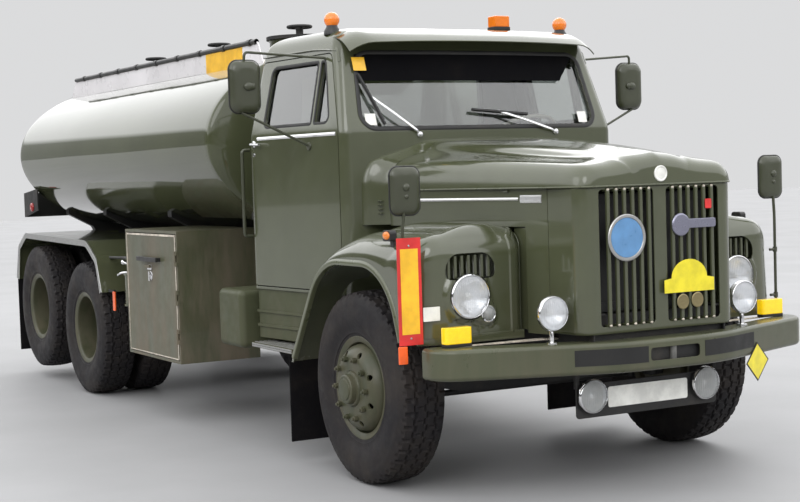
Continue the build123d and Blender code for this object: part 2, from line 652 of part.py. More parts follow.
def make_wings():
    outer_face = outline(WING_OUTLINE)
    wing = wing_form()
    hollow = prism_y(offset(outer_face, amount=-SHEET), WING_INNER + SHEET, WING_OUTER - SHEET)
    edges = [e for e in hollow.edges() if abs(e.center().Y - WING_OUTER + SHEET) < 1 and e.center().Z > 560]
    wing -= fillet(edges, WING_EDGE - SHEET)
    # The arch with its rolled lip
    arch = outline(ARCH_OUTLINE)
    lip = prism_y(offset(arch, amount=WING_LIP), WING_OUTER - WING_LIP, WING_OUTER + WING_LIP_PROUD)
    wing += lip & prism_y(outer_face, WING_INNER, WING_OUTER + WING_LIP)
    wing -= prism_y(arch, WING_INNER + SHEET + 2, WING_OUTER + 50)
    # Cut away below the front corner and the rear foot, and where the cab stands.
    wing -= block(-900, 900, WING_INNER - 10, WING_OUTER + 10, 400, WING_BOTTOM)
    wing -= block(300, 900, WING_INNER - 10, WING_OUTER + 10, 400, 858)
    wing -= block(-900, 300, WING_INNER - 10, WING_INNER + SHEET + 1, 400, 760)
    wing -= prism_z(outline(cab_table(0, -4)), CAB_FLOOR - 4, 2000)
    wing -= block(-900, -425, 300, 830, CAB_FLOOR - 200, 2000)
    # Raised lamp surround with the vent above it.
    lamp_ring = Pos(HEADLAMP_Y, HEADLAMP_Z) * Circle(HEADLAMP_RADIUS + 30)
    side_ring = Pos(HEADLAMP_Y + SIDE_LAMP[0], HEADLAMP_Z + SIDE_LAMP[1]) * Circle(SIDE_LAMP[2] + 14)
    ring = make_hull(lamp_ring.edges() + side_ring.edges())
    wing += prism_x(ring, WING_FRONT - 4, WING_FRONT + 12)
    wing -= prism_x(Pos(HEADLAMP_Y, HEADLAMP_Z) * Circle(HEADLAMP_RADIUS + SEAT), 600, 900)
    vent = prism_x(outline(VENT_GRILLE) - lamp_ring, 600, 900)
    bars = None
    for i in range(VENT_BARS):
        y = HEADLAMP_Y - 15 + (i - (VENT_BARS - 1) / 2) * VENT_PITCH
        bar = block(WING_FRONT - SHEET - 6, WING_FRONT - 1, y - 6, y + 6, VENT_GRILLE[0][1] - 5, VENT_GRILLE[2][1] + 5)
        bars = bar if bars is None else bars + bar
    wing = (wing - vent) + (bars - prism_x(lamp_ring, 600, 900))
    wing += prism_x(side_ring & (Pos(HEADLAMP_Y + SIDE_LAMP[0], HEADLAMP_Z + SIDE_LAMP[1]) * Circle(SIDE_LAMP[2])),
                    WING_FRONT + 8, WING_FRONT + 26)
    save("front_wings", wing, mirrored(wing))


def cab_table(level, inset):
    """Plan outline of the cab at a level; inset moves it inwards."""
    z, mid_x, front_x, front_y, rear_x, rear_y = CAB_LEVELS[level]
    right = [
        (mid_x - inset, -300, 500), (front_x - inset, -front_y + inset, CAB_CORNER),
        (rear_x + inset, -rear_y + inset, 90 if level < 4 else 60),
    ]
    return right + [(a, -b, r) for a, b, r in reversed(right)]


def cab_section(level, inset, z=None):
    height = CAB_LEVELS[level][0] if z is None else z
    return Plane.XY.offset(height) * outline(cab_table(level, inset))


def cab_form(inset, bottom, roof_drop):
    lower = prism_z(outline(cab_table(0, inset)), bottom, CAB_BELT)
    upper = loft([cab_section(1, inset), cab_section(2, inset)], ruled=True)
    form = lower + upper
    roof = [cab_section(2, inset)]
    for level in (3, 4, 5):
        roof.append(cab_section(level, inset, CAB_LEVELS[level][0] - roof_drop))
    return form + loft(roof, ruled=True)


def make_cab():
    outer = cab_form(0, CAB_FLOOR, 0)
    inner = cab_form(CAB_WALL, CAB_FLOOR + 50, 40)
    core = cab_form(CAB_WALL, CAB_FLOOR - 20, 40)
    walls = outer - core
    shell = outer - inner
    door_face = outline(DOOR_OUTLINE)
    smaller = offset(door_face, amount=-DOOR_GAP)
    window_cut = prism_y(outline(WINDOW_OUTLINE), 700, 1300) + prism_y(outline(VENT_OUTLINE), 700, 1300)
    opening = prism_y(door_face, 780, 1300)
    leaf = (walls & prism_y(smaller, 780, 1300)) - window_cut
    for side in (-1, 1):
        shell -= opening if side > 0 else mirrored(opening)
    shell += block(-1600, -430, -CAB_WALL * 2, CAB_WALL * 2, CAB_FLOOR, CAB_FLOOR + 50)
    shell -= prism_x(outline(SCREEN_OUTLINE), -900, -300)
    shell -= prism_x(outline(REAR_WINDOW), -1800, -1300)
    scuttle = loft([bonnet_section(BONNET[0], 0, WING_TOP + 6), bonnet_section(SCUTTLE, 0, WING_TOP + 6)], ruled=True)
    for side in (-1, 1):
        for near, far in ((HINGE_HALF + SEAT, HINGE_HALF + 20), (-HINGE_HALF - 20, -HINGE_HALF - SEAT)):
            y0, y1 = side * BONNET_HINGE_Y + near, side * BONNET_HINGE_Y + far
            scuttle += rod((COWL_X, y0, BONNET_HINGE_Z), (COWL_X, y1, BONNET_HINGE_Z), HINGE_RADIUS)
            scuttle += block(COWL_X - 34, COWL_X - HINGE_RADIUS * 0.5, y0, y1, BONNET_HINGE_Z - 60,
                             BONNET_HINGE_Z - HINGE_RADIUS * 0.4)
    shell += scuttle - core - prism_x(outline(SCREEN_OUTLINE), -900, -300)
    visor = prism_y(outline(VISOR_OUTLINE), -880, 880)
    visor &= prism_z(outline(VISOR_PLAN), 2300, 2700)
    shell += visor - inner
    fixed, moving = hinge_barrels(DOOR_HINGE_X, DOOR_HINGE_Y, (1270, 1860), 12, 36, 44, 20)
    leaf += moving + block(DOOR_REAR + 40, DOOR_REAR + 160, 1050, HANDLE_Y, 1898, 1920)
    # Grab handle behind each door
    grip = rod((GRIP_X, GRIP_Y, 1330), (GRIP_X, GRIP_Y, 1880), 11)
    for z in (1330, 1880):
        grip += rod((GRIP_X, GRIP_Y, z), (GRIP_X, GRIP_Y - 60, z), 11)
    fixed += grip
    shell += fixed + mirrored(fixed)
    save("cab_shell", shell)
    save("door_left", leaf)
    save("door_right", mirrored(leaf))

    # Glass panes lie in the middle of the wall, cut to their openings.
    middle = CAB_WALL / 2
    pane = cab_form(middle - GLASS / 2, CAB_BELT - 300, 20) - cab_form(middle + GLASS / 2, CAB_BELT - 320, 20)
    screen = pane & prism_x(outline(SCREEN_OUTLINE), -900, -300)
    rear = pane & prism_x(outline(REAR_WINDOW), -1800, -1300)
    save("cab_glass", screen, rear)
    side = pane & window_cut
    save("door_glass_left", side)
    save("door_glass_right", mirrored(side))


def make_interior():
    seats = []
    # seat middle y, half width
    for y, half in ((470, 250), (-330, 400)):
        cushion = block(-1500, -1010, y - half, y + half, 1380, 1500)
        back = block(-1540, -1430, y - half, y + half, 1500 + SEAT, 2020)
        stand = block(-1470, -1060, y - half + 60, y + half - 60, CAB_FLOOR + 50, 1380)
        seats += [fillet(cushion.edges(), 28) + stand, fillet(back.edges(), 35)]
    save("seats", *seats)
    dash = prism_y(outline(DASH_OUTLINE), -880, 880)
    dash &= prism_z(outline(cab_table(0, CAB_WALL + SEAT)), 1500, 2000)
    centre, axis = Vector(*WHEEL_CENTRE), Vector(*WHEEL_AXIS).normalized()
    dash += rod(tuple(centre - axis * 430), tuple(centre - axis * (15 + SEAT)), 28)
    save("dashboard", dash)
    rim = Torus(WHEEL_R, 14)
    wheel = rim + Cylinder(36, 30)
    for angle in (90, 210, 330):
        wheel += Rot(0, 0, angle) * place(Box(WHEEL_R, 24, 12), dx=WHEEL_R / 2)
    plane = Plane(origin=WHEEL_CENTRE, z_dir=WHEEL_AXIS)
    save("steering_wheel", plane * wheel)


def make_steps():
    step = block(-1460, -870, 960, 1150, 640, 668)
    outer, middle, inner = [outline(cab_table(0, inset)) for inset in (2, 12, 24)]
    sill = prism_z(middle, 690, CAB_FLOOR - SEAT) - prism_z(inner, 600, CAB_FLOOR)
    for z in (760, 850):
        sill += prism_z(outer, z, z + 16) - prism_z(inner, z - 1, z + 20)
    step += sill & block(-1560, -830, 900, 1200, 600, CAB_FLOOR)
    for x in (-1420, -910):
        step += block(x - 20, x + 20, RAIL_Y, RAIL_Y + 16, 600, 840)
        step += block(x - 20, x + 20, RAIL_Y, 990, 600, 640)
        step += block(x - 20, x + 20, 966, 982, 600, 760) + block(x - 20, x + 20, 966, 1010, 735, 760)
    save("cab_steps", step, mirrored(step))


def hinge_barrels(x, y, heights, radius, depth, reach, root=8):
    """Fixed and moving halves of an outside hinge on an upright axis at x, y; the fixed leaf goes root deeper."""
    fixed, moving = [], []
    for z in heights:
        for low, high in ((z - 52, z - 22), (z + 22, z + 52)):
            fixed.append(rod((x, y, low), (x, y, high), radius))
            fixed.append(block(x + radius * 0.6, x + reach * 0.6, y - depth - root, y, low, high))
        moving.append(rod((x, y, z - 22 + SEAT), (x, y, z + 22 - SEAT), radius))
        moving.append(block(x - reach, x - radius * 0.6, y - depth, y, z - 22 + SEAT, z + 22 - SEAT))
    first, second = fixed[0], moving[0]
    for piece in fixed[1:]:
        first += piece
    for piece in moving[1:]:
        second += piece
    return first, second


def ellipse_x(grow, x0, x1):
    face = Pos(0, TANK_CENTRE) * Ellipse(TANK_HALF_WIDTH + grow, TANK_HALF_HEIGHT + grow)
    return prism_x(face, x0, x1)


def tank_head(x, direction, grow):
    """Dished end: ellipses that shrink as they move out, by share of the oval and of the rise."""
    sections = []
    for share, reach in ((1.0, 0.0), (0.94, 0.36), (0.74, 0.76), (0.3, 1.0)):
        a = (TANK_HALF_WIDTH + grow) * share
        b = (TANK_HALF_HEIGHT + grow) * share
        plane = Plane.YZ.offset(x + direction * TANK_HEAD_RISE * reach)
        sections.append(plane * Pos(0, TANK_CENTRE) * Ellipse(a, b))
    return loft(sections, ruled=True)


def make_tank():
    front, rear = TANK_FRONT - TANK_HEAD_SET, TANK_REAR + TANK_HEAD_SET
    tank = ellipse_x(0, rear, front)
    tank += tank_head(front, 1, -1) + tank_head(rear, -1, -1)
    cavity = ellipse_x(-TANK_WALL, rear + 10, front - 10)
    tank -= cavity
    for x0, x1 in ((TANK_REAR, TANK_REAR + BAND_WIDTH), (TANK_FRONT - BAND_WIDTH, TANK_FRONT)):
        tank += ellipse_x(BAND_PROUD, x0, x1) - ellipse_x(-1, x0, x1)
    for x in LID_STATIONS:
        neck = rod((x, 0, TANK_CENTRE + TANK_HALF_HEIGHT - 60), (x, 0, NECK_TOP), NECK_RADIUS)
        neck -= ellipse_x(-2, x - 400, x + 400)
        # Hinge ears beside the lid's barrel
        axis_x, axis_z = x - LID_RADIUS - LID_HINGE_OUT, NECK_TOP + LID_HINGE_UP
        for side in (-1, 1):
            y0, y1 = sorted((side * (30 + SEAT), side * 46))
            neck += rod((axis_x, y0, axis_z), (axis_x, y1, axis_z), LID_HINGE_RADIUS)
            neck += block(axis_x - LID_HINGE_RADIUS, axis_x + LID_HINGE_RADIUS, y0, y1, axis_z - 60, axis_z)
            neck += block(axis_x - LID_HINGE_RADIUS, x - NECK_RADIUS + 20, y0, y1, axis_z - 80, axis_z - 50)
        tank += neck
    save("tank", tank)

    saddles = None
    foot, knee, wing = RAIL_Y, 575, 800
    for x in SADDLE_STATIONS:
        face = outline([
            (-foot, RAIL_TOP + SUBFRAME_HEIGHT, 0), (foot, RAIL_TOP + SUBFRAME_HEIGHT, 0),
            (knee, 1300, 0), (wing, 1420, 0), (wing, 1600, 0),
            (-wing, 1600, 0), (-wing, 1420, 0), (-knee, 1300, 0),
        ])
        plate = prism_x(face, x - 40, x + 40) - ellipse_x(0.3, x - 60, x + 60)
        saddles = plate if saddles is None else saddles + plate
    for side in (-1, 1):
        saddles += block(SADDLE_STATIONS[-1] - 60, SADDLE_STATIONS[0] + 60, side * (RAIL_Y - RAIL_FLANGE),
                         side * RAIL_Y, RAIL_TOP, RAIL_TOP + SUBFRAME_HEIGHT)
    save("tank_saddles", saddles)

    board = prism_y(outline([
        (TANK_REAR + 100, 2380, 0), (TANK_REAR + 330, COAMING_TOP, 40),
        (TANK_FRONT - 200, COAMING_TOP, 40), (TANK_FRONT - 70, 2380, 0),
    ]), COAMING_Y - COAMING_WALL, COAMING_Y)
    board -= ellipse_x(0.3, TANK_REAR, TANK_FRONT)
    board += rod((TANK_REAR + 340, COAMING_Y, COAMING_TOP), (TANK_FRONT - 215, COAMING_Y, COAMING_TOP), 16)
    save("coamings", board, mirrored(board))

    for i, x in enumerate(LID_STATIONS):
        cover = rod((x, 0, NECK_TOP + SEAT), (x, 0, NECK_TOP + LID_THICK), LID_RADIUS)
        cover += rod((x, 0, NECK_TOP + LID_THICK), (x, 0, NECK_TOP + 100), 28)
        cover += place(Torus(85, 12), x, 0, NECK_TOP + 100)
        cover += block(x - 85, x + 85, -9, 9, NECK_TOP + 93, NECK_TOP + 107)
        axis_x, axis_z = x - LID_RADIUS - LID_HINGE_OUT, NECK_TOP + LID_HINGE_UP
        cover += rod((axis_x, -30, axis_z), (axis_x, 30, axis_z), LID_HINGE_RADIUS)
        cover += block(axis_x, x - LID_RADIUS + 20, -30, 30, axis_z - 7, axis_z + 7)
        save(f"tank_lid_{i + 1}", cover)


def make_cabinets():
    hinge_x = CABINET_FRONT - CABINET_WALL - 2
    fixed, moving = hinge_barrels(hinge_x, CABINET_OUTER + 9, (620, 890, 1160), 8, 9, 40)
    body = block(CABINET_REAR, CABINET_FRONT, CABINET_INNER, CABINET_OUTER, CABINET_BOTTOM, CABINET_TOP)
    body -= block(CABINET_REAR + CABINET_WALL, CABINET_FRONT - CABINET_WALL, CABINET_INNER + CABINET_WALL,
                  CABINET_OUTER + 10, CABINET_BOTTOM + CABINET_WALL, CABINET_TOP - CABINET_WALL)
    for x in (CABINET_REAR + 130, CABINET_FRONT - 130):
        body += block(x - 30, x + 30, RAIL_Y, CABINET_INNER, 780, 900)
    body += fixed
    save("cabinets", body, mirrored(body))
    gap = 6
    door = block(CABINET_REAR + CABINET_WALL + gap, CABINET_FRONT - CABINET_WALL - gap,
                 CABINET_OUTER - CABINET_WALL, CABINET_OUTER,
                 CABINET_BOTTOM + CABINET_WALL + gap, CABINET_TOP - CABINET_WALL - gap)
    middle = (CABINET_REAR + CABINET_FRONT) / 2
    door += moving
    door += block(middle - 90, middle + 30, CABINET_OUTER, CABINET_OUTER + 26, 1080, 1102)
    save("cabinet_door_left", door)
    save("cabinet_door_right", mirrored(door))


def make_valve():
    """Outlet on the right, between cabinet and guard: pipe, upright body and lever."""
    side = -VALVE_Y
    valve = rod((VALVE_X, side, VALVE_BOTTOM), (VALVE_X, side, VALVE_TOP), VALVE_RADIUS)
    valve += rod((VALVE_X, side, VALVE_BOTTOM - 26), (VALVE_X, side, VALVE_BOTTOM), VALVE_RADIUS * 0.7)
    valve += rod((VALVE_X, side, VALVE_TOP), (VALVE_X, side, VALVE_TOP + 60), 16)
    valve += rod((VALVE_X + 20, side, VALVE_TOP + 52), (VALVE_X - 130, side - 30, VALVE_TOP + 80), 10)
    valve += rod((VALVE_X, -RAIL_Y, VALVE_PIPE_Z), (VALVE_X, side, VALVE_PIPE_Z), VALVE_PIPE_RADIUS)
    valve += rod((VALVE_X, -RAIL_Y, VALVE_PIPE_Z), (VALVE_X, -RAIL_Y - 16, VALVE_PIPE_Z), VALVE_PIPE_RADIUS + 24)
    save("outlet_valve", valve)


def make_guards():
    face = outline(GUARD_OUTLINE)
    guard = prism_y(face, GUARD_INNER, GUARD_OUTER) - prism_y(offset(face, amount=-SHEET), 0, 1400)
    guard += (prism_y(face, GUARD_OUTER - 6, GUARD_OUTER) - prism_y(offset(face, amount=-46), 0, 1400))
    guard -= block(-7000, -3500, 0, 1400, 400, GUARD_BOTTOM)
    under = prism_y(offset(face, amount=-SHEET), 0, 1400)
    for x in (-6060, -5140, -4560):
        arm = block(x - 20, x + 20, RAIL_Y, GUARD_OUTER - 120, 1190, 1300) & under
        guard += arm + block(x - 20, x + 20, RAIL_Y, RAIL_Y + 36, 780, 1220)
    save("rear_mudguards", guard, mirrored(guard))
    front_flap = block(-806, -806 + FLAP_WALL, 640, WING_OUTER - 8, 130, WING_BOTTOM - SEAT)
    rear_flap = block(-6514, -6514 + FLAP_WALL, GUARD_INNER, GUARD_OUTER, 200, GUARD_BOTTOM - SEAT)
    save("mud_flaps", front_flap, mirrored(front_flap), rear_flap, mirrored(rear_flap))


def make_rear():
    board = block(-6730, -6718, -1090, 1090, 1400, 1620)
    for side in (-1, 1):
        wing = prism_y(outline([(-6730, 1400, 0), (-6730, 1620, 0), (-6300, 1660, 0), (-6300, 1470, 0)]),
                       min(side * 1090, side * 1078), max(side * 1090, side * 1078))
        board += wing
        board += block(-6720, FRAME_REAR - 10, side * 300, side * 360, 940, 1420)
        board += block(-6720, FRAME_REAR, side * 300, side * 360, 880, 950)
        for y in (560, 760, 960):
            board += rod((-6728, side * y, 1510), (-6758, side * y, 1510), 55)
    save("rear_lamp_board", board)
    ladder = None
    drop = math.sqrt(1 - ((LADDER_HALF - 16) / (TANK_HALF_WIDTH + BAND_PROUD)) ** 2)
    top = TANK_CENTRE + (TANK_HALF_HEIGHT + BAND_PROUD) * drop
    for side in (-1, 1):
        y = side * LADDER_HALF
        pole = rod((-6646, y, 1520), (-6590, y, 2640), 16)
        pole += rod((-6598, y, 2640), (-6460, y, 2640), 16)
        pole += block(-6490, -6450, y - 16, y + 16, top + SEAT, 2640)
        pole += rod((-6640, y, 1560), (-6718 + SEAT, y, 1560), 14)
        ladder = pole if ladder is None else ladder + pole
    for i in range(5):
        t = 0.1 + i * 0.2
        x = -6640 + 50 * t
        z = 1640 + 1000 * t
        ladder += rod((x, -LADDER_HALF, z), (x, LADDER_HALF, z), 13)
    save("tank_ladder", ladder)
    hook = block(FRAME_REAR - 40, FRAME_REAR, -120, 120, 760, 940)
    for low, high in ((790, 830), (880, 920)):
        hook += block(-REAR_REACH, FRAME_REAR - 30, -60, 60, low, high)
    hook -= rod((COUPLING_PIN_X, 0, 700), (COUPLING_PIN_X, 0, 1000), COUPLING_PIN_RADIUS)
    save("rear_coupling", hook)


def lamp(x, y, z, radius, depth):
    """A round lamp that faces forward: bowl, rim and a shallow domed glass."""
    points = [(x - depth, 0), (x - depth, radius * 0.45), (x - depth * 0.45, radius * 0.9), (x, radius),
              (x + 10, radius), (x + 16, radius * 0.8), (x + 22, 0)]
    face = make_face(Polyline(*points, close=True))
    return place(revolve(Plane.XZ * face, Axis.X), dy=y, dz=z)


def make_lamps():
    lamps = []
    rows = (
        (WING_FRONT + 2, HEADLAMP_Y, HEADLAMP_Z, HEADLAMP_RADIUS, 80),
        (1108, 626, 976, 92, 75),
        (1080, 372, 530, 92, 18 - SEAT),
    )
    for x, y, z, radius, depth in rows:
        one = lamp(x, y, z, radius, depth)
        if z == 976:
            one += rod((1085, y, BUMPER_TOP), (1085, y, 900), 14)
        lamps += [one, mirrored(one)]
    save("front_lamps", *lamps)

    ambers = []
    roof = cab_form(-SEAT, CAB_FLOOR, -SEAT)
    for side in (-1, 1):
        y = side * 1044
        ambers.append(fillet(block(830, 890, y - 80, y + 80, BUMPER_TOP + SEAT, 924).edges(), 12))
        ambers.append(rod((-830, side * 830, 2500), (-830, side * 830, 2680), 48) - roof)
    ambers.append(block(-880, -780, 300, 420, 2560, 2680) - roof)
    save("amber_lamps", *ambers)

    mirrors = []
    post_y = WING_OUTER + 34
    post = rod((MIRROR_POST_X, post_y, 905), (MIRROR_POST_X, post_y, 1500), 9)
    for z in (925, 1190):
        post += block(MIRROR_POST_X - 12, MIRROR_POST_X + 12, WING_OUTER - 60, post_y, z - 14, z + 14)
    head = fillet(block(672, 712, 1222 - 88, 1222 + 88, 1490, 1738).edges(), 18)
    mirrors = post + head - wing_form()
    save("wing_mirrors", mirrors, mirrored(mirrors))

    head = fillet(block(-880, -815, 1300, 1505, 2075, 2395).edges(), 26)
    arms = rod((-850, 1440, 2085), (-840, 960, 1880), 9) + rod((-845, 1400, 2390), (-845, 1400, 2445), 9)
    arms += rod((-845, 1400, 2440), (-760, 860, 2392), 9)
    arms -= roof
    save("door_mirror_left", head + arms)
    save("door_mirror_right", mirrored(head + arms))


def make_boxes():
    box = fillet(block(-2000, -1620, 700, 1150, 610, 985).edges(), 40)
    box += block(-1850, -1750, RAIL_Y, 720, 760, 860)
    save("side_boxes", box, mirrored(box))


os.makedirs("parts", exist_ok=True)
make_wheels()
make_frame()
make_springs()
make_axles()
make_steering()
make_driveline()
make_bumper()
make_nose()
make_bonnet()
make_wings()
make_cab()
make_interior()
make_steps()
make_tank()
make_cabinets()
make_valve()
make_guards()
make_rear()
make_lamps()
make_boxes()
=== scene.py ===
import json
import math
import random

import bmesh
import bpy
from mathutils import Matrix, Vector
from mathutils.bvhtree import BVHTree


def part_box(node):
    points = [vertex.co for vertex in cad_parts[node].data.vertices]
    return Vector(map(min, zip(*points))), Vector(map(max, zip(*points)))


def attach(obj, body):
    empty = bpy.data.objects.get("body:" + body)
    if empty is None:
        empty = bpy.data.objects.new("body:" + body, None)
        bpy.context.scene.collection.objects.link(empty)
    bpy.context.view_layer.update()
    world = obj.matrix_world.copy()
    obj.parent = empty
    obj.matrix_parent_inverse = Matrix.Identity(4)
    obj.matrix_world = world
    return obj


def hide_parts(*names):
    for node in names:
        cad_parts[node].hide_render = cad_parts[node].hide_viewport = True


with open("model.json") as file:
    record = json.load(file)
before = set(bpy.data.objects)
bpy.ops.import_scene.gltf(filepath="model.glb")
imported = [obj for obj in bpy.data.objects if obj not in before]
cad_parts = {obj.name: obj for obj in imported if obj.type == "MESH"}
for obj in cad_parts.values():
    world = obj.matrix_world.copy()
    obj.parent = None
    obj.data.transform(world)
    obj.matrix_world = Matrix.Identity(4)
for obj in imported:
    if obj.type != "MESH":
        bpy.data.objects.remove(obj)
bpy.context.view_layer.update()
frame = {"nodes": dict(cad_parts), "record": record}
nodes = frame["nodes"]

# The truck is drawn in metres from its front axle, x forward. AXLE_X is that axle's place in the frame.
wheel_low, wheel_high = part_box("front_wheel_left")
AXLE_X = (wheel_low.x + wheel_high.x) / 2
MM = 0.001


def linear(red, green, blue):
    """An sRGB colour, 0 to 255, as linear values."""
    out = []
    for value in (red, green, blue):
        v = value / 255
        out.append(v / 12.92 if v <= 0.04045 else ((v + 0.055) / 1.055) ** 2.4)
    return tuple(out)


OLIVE = linear(71, 75, 54)
DUST = linear(108, 96, 81)


# Materials
class Nodes:
    """Short calls for building one material's node tree."""

    def __init__(self, name):
        self.material = bpy.data.materials.new(name)
        self.material.use_nodes = True
        self.tree = self.material.node_tree
        self.tree.nodes.clear()
        self.out = self.add("ShaderNodeOutputMaterial")
        self.shader = self.add("ShaderNodeBsdfPrincipled")
        self.link(self.shader.outputs[0], self.out.inputs[0])
        self.place = self.add("ShaderNodeTexCoord").outputs["Object"]

    def add(self, kind, **values):
        node = self.tree.nodes.new(kind)
        for key, value in values.items():
            setattr(node, key, value)
        return node

    def link(self, source, target):
        self.tree.links.new(source, target)

    def noise(self, scale, detail=3.0, rough=0.55, stretch=None):
        node = self.add("ShaderNodeTexNoise")
        node.inputs["Scale"].default_value = scale
        node.inputs["Detail"].default_value = detail
        node.inputs["Roughness"].default_value = rough
        source = self.place
        if stretch:
            mapping = self.add("ShaderNodeMapping")
            mapping.inputs["Scale"].default_value = stretch
            self.link(source, mapping.inputs[0])
            source = mapping.outputs[0]
        self.link(source, node.inputs["Vector"])
        return node.outputs["Fac"]

    def span(self, source, low, high, to_low=0.0, to_high=1.0, smooth=True):
        node = self.add("ShaderNodeMapRange")
        node.interpolation_type = "SMOOTHSTEP" if smooth else "LINEAR"
        for key, value in (("From Min", low), ("From Max", high), ("To Min", to_low), ("To Max", to_high)):
            node.inputs[key].default_value = value
        self.link(source, node.inputs["Value"])
        return node.outputs["Result"]

    def math(self, operation, a, b):
        node = self.add("ShaderNodeMath", operation=operation)
        for value, socket in ((a, node.inputs[0]), (b, node.inputs[1])):
            if isinstance(value, (int, float)):
                socket.default_value = value
            else:
                self.link(value, socket)
        return node.outputs[0]

    def mix(self, factor, a, b):
        node = self.add("ShaderNodeMix", data_type="RGBA")
        for value, socket in ((factor, node.inputs[0]), (a, node.inputs[6]), (b, node.inputs[7])):
            if isinstance(value, (int, float)):
                socket.default_value = value
            elif isinstance(value, tuple):
                socket.default_value = (*value[:3], 1.0)
            else:
                self.link(value, socket)
        return node.outputs[2]

    def height(self):
        node = self.add("ShaderNodeSeparateXYZ")
        self.link(self.place, node.inputs[0])
        return node.outputs["Z"]

    def bump(self, source, strength, distance, under=None):
        node = self.add("ShaderNodeBump")
        node.inputs["Strength"].default_value = strength
        node.inputs["Distance"].default_value = distance
        self.link(source, node.inputs["Height"])
        if under is not None:
            self.link(under, node.inputs["Normal"])
        return node.outputs[0]

    def set(self, **values):
        for key, value in values.items():
            socket = self.shader.inputs[key.replace("_", " ")]
            socket.default_value = (*value, 1.0) if isinstance(value, tuple) and len(value) == 3 else value


def tone(colour, share):
    return tuple(min(1.0, c * share) for c in colour)


def painted(name, colour, rough=0.16, coat=0.55, wave=0.35, dust=0.5, dust_top=1.3, edge=3.0, grain=0.25, shine=0.5):
    """Enamel on sheet metal: slow waves, orange peel, road film that thins out upwards."""
    n = Nodes(name)
    clouds = n.noise(1.7, 4.0)
    base = n.mix(n.span(clouds, 0.3, 0.7), tone(colour, 0.9), tone(colour, 1.1))
    low = n.span(n.height(), 0.35, dust_top, 1.0, 0.0)
    streaks = n.noise(3.0, 6.0, 0.65, stretch=(2.2, 2.2, 0.45))
    film = n.math("MULTIPLY", n.math("MULTIPLY", low, n.span(streaks, 0.3, 0.75)), dust)
    n.link(n.mix(film, base, DUST), n.shader.inputs["Base Color"])
    gloss = n.span(n.noise(9.0, 5.0), 0.3, 0.7, rough * 0.8, rough * 1.25)
    n.link(n.math("ADD", gloss, n.math("MULTIPLY", film, 0.45)), n.shader.inputs["Roughness"])
    n.set(Coat_Weight=coat, Coat_Roughness=0.035, Specular_IOR_Level=shine)
    normal = None
    if edge:
        bevel = n.add("ShaderNodeBevel", samples=4)
        bevel.inputs["Radius"].default_value = edge * MM
        normal = bevel.outputs[0]
    normal = n.bump(n.noise(1.3, 1.0), wave, 0.006, normal)
    normal = n.bump(n.noise(420.0, 2.0), grain * 0.2, 0.0006, normal)
    n.link(normal, n.shader.inputs["Normal"])
    return n.material


def rough_metal(name, colour, rough=0.5, metal=0.0, grain=0.4, scale=60.0, dust=0.5, edge=2.0):
    """Brushed-on black, cast or forged metal with road dirt."""
    n = Nodes(name)
    spots = n.noise(scale * 0.3, 6.0, 0.7)
    base = n.mix(n.span(spots, 0.35, 0.7), tone(colour, 0.7), tone(colour, 1.35))
    film = n.math("MULTIPLY", n.span(n.noise(4.0, 6.0, 0.7), 0.45, 0.8), dust)
    n.link(n.mix(film, base, DUST), n.shader.inputs["Base Color"])
    n.link(n.span(spots, 0.2, 0.8, rough * 0.75, min(1.0, rough * 1.3)), n.shader.inputs["Roughness"])
    n.set(Metallic=metal)
    normal = None
    if edge:
        bevel = n.add("ShaderNodeBevel", samples=4)
        bevel.inputs["Radius"].default_value = edge * MM
        normal = bevel.outputs[0]
    n.link(n.bump(n.noise(scale, 4.0), grain, 0.0015, normal), n.shader.inputs["Normal"])
    return n.material


def polished(name, colour, rough=0.06, scratch=0.12, metal=1.0):
    n = Nodes(name)
    wear = n.noise(35.0, 6.0, 0.7, stretch=(1.0, 1.0, 3.0))
    n.link(n.mix(n.span(wear, 0.3, 0.75), colour, tone(colour, 0.86)), n.shader.inputs["Base Color"])
    n.link(n.span(wear, 0.25, 0.8, rough, rough + scratch), n.shader.inputs["Roughness"])
    n.set(Metallic=metal)
    n.link(n.bump(n.noise(4.0, 2.0), 0.15, 0.001), n.shader.inputs["Normal"])
    return n.material


def moulded(name, colour, rough=0.5, grain=0.3, scale=300.0, dust=0.2, coat=0.0, shine=0.5):
    """Plastic or rubber."""
    n = Nodes(name)
    spots = n.noise(12.0, 5.0)
    base = n.mix(n.span(spots, 0.3, 0.7), tone(colour, 0.88), tone(colour, 1.14))
    film = n.math("MULTIPLY", n.span(n.noise(5.0, 6.0, 0.7), 0.45, 0.8), dust)
    n.link(n.mix(film, base, DUST), n.shader.inputs["Base Color"])
    n.link(n.span(spots, 0.3, 0.7, rough * 0.85, min(1.0, rough * 1.15)), n.shader.inputs["Roughness"])
    n.set(Coat_Weight=coat, Coat_Roughness=0.05, Specular_IOR_Level=shine)
    n.link(n.bump(n.noise(scale, 3.0), grain, 0.0006), n.shader.inputs["Normal"])
    return n.material


def lens(name, colour, rough=0.08, glow=0.0, ribs=260.0):
    """Coloured lamp plastic or ribbed glass: see-through to a short depth."""
    n = Nodes(name)
    spots = n.noise(40.0, 3.0)
    n.link(n.mix(n.span(spots, 0.3, 0.7), tone(colour, 0.92), tone(colour, 1.06)), n.shader.inputs["Base Color"])
    n.link(n.span(spots, 0.3, 0.7, rough, rough + 0.06), n.shader.inputs["Roughness"])
    n.set(Transmission_Weight=0.25, Coat_Weight=0.6, Coat_Roughness=0.03)
    if glow:
        n.set(Emission_Color=colour, Emission_Strength=glow)
    wave = n.add("ShaderNodeTexWave", wave_type="BANDS", bands_direction="Y")
    wave.inputs["Scale"].default_value = ribs
    n.link(n.place, wave.inputs["Vector"])
    n.link(n.bump(wave.outputs["Fac"], 0.35, 0.0008), n.shader.inputs["Normal"])
    return n.material


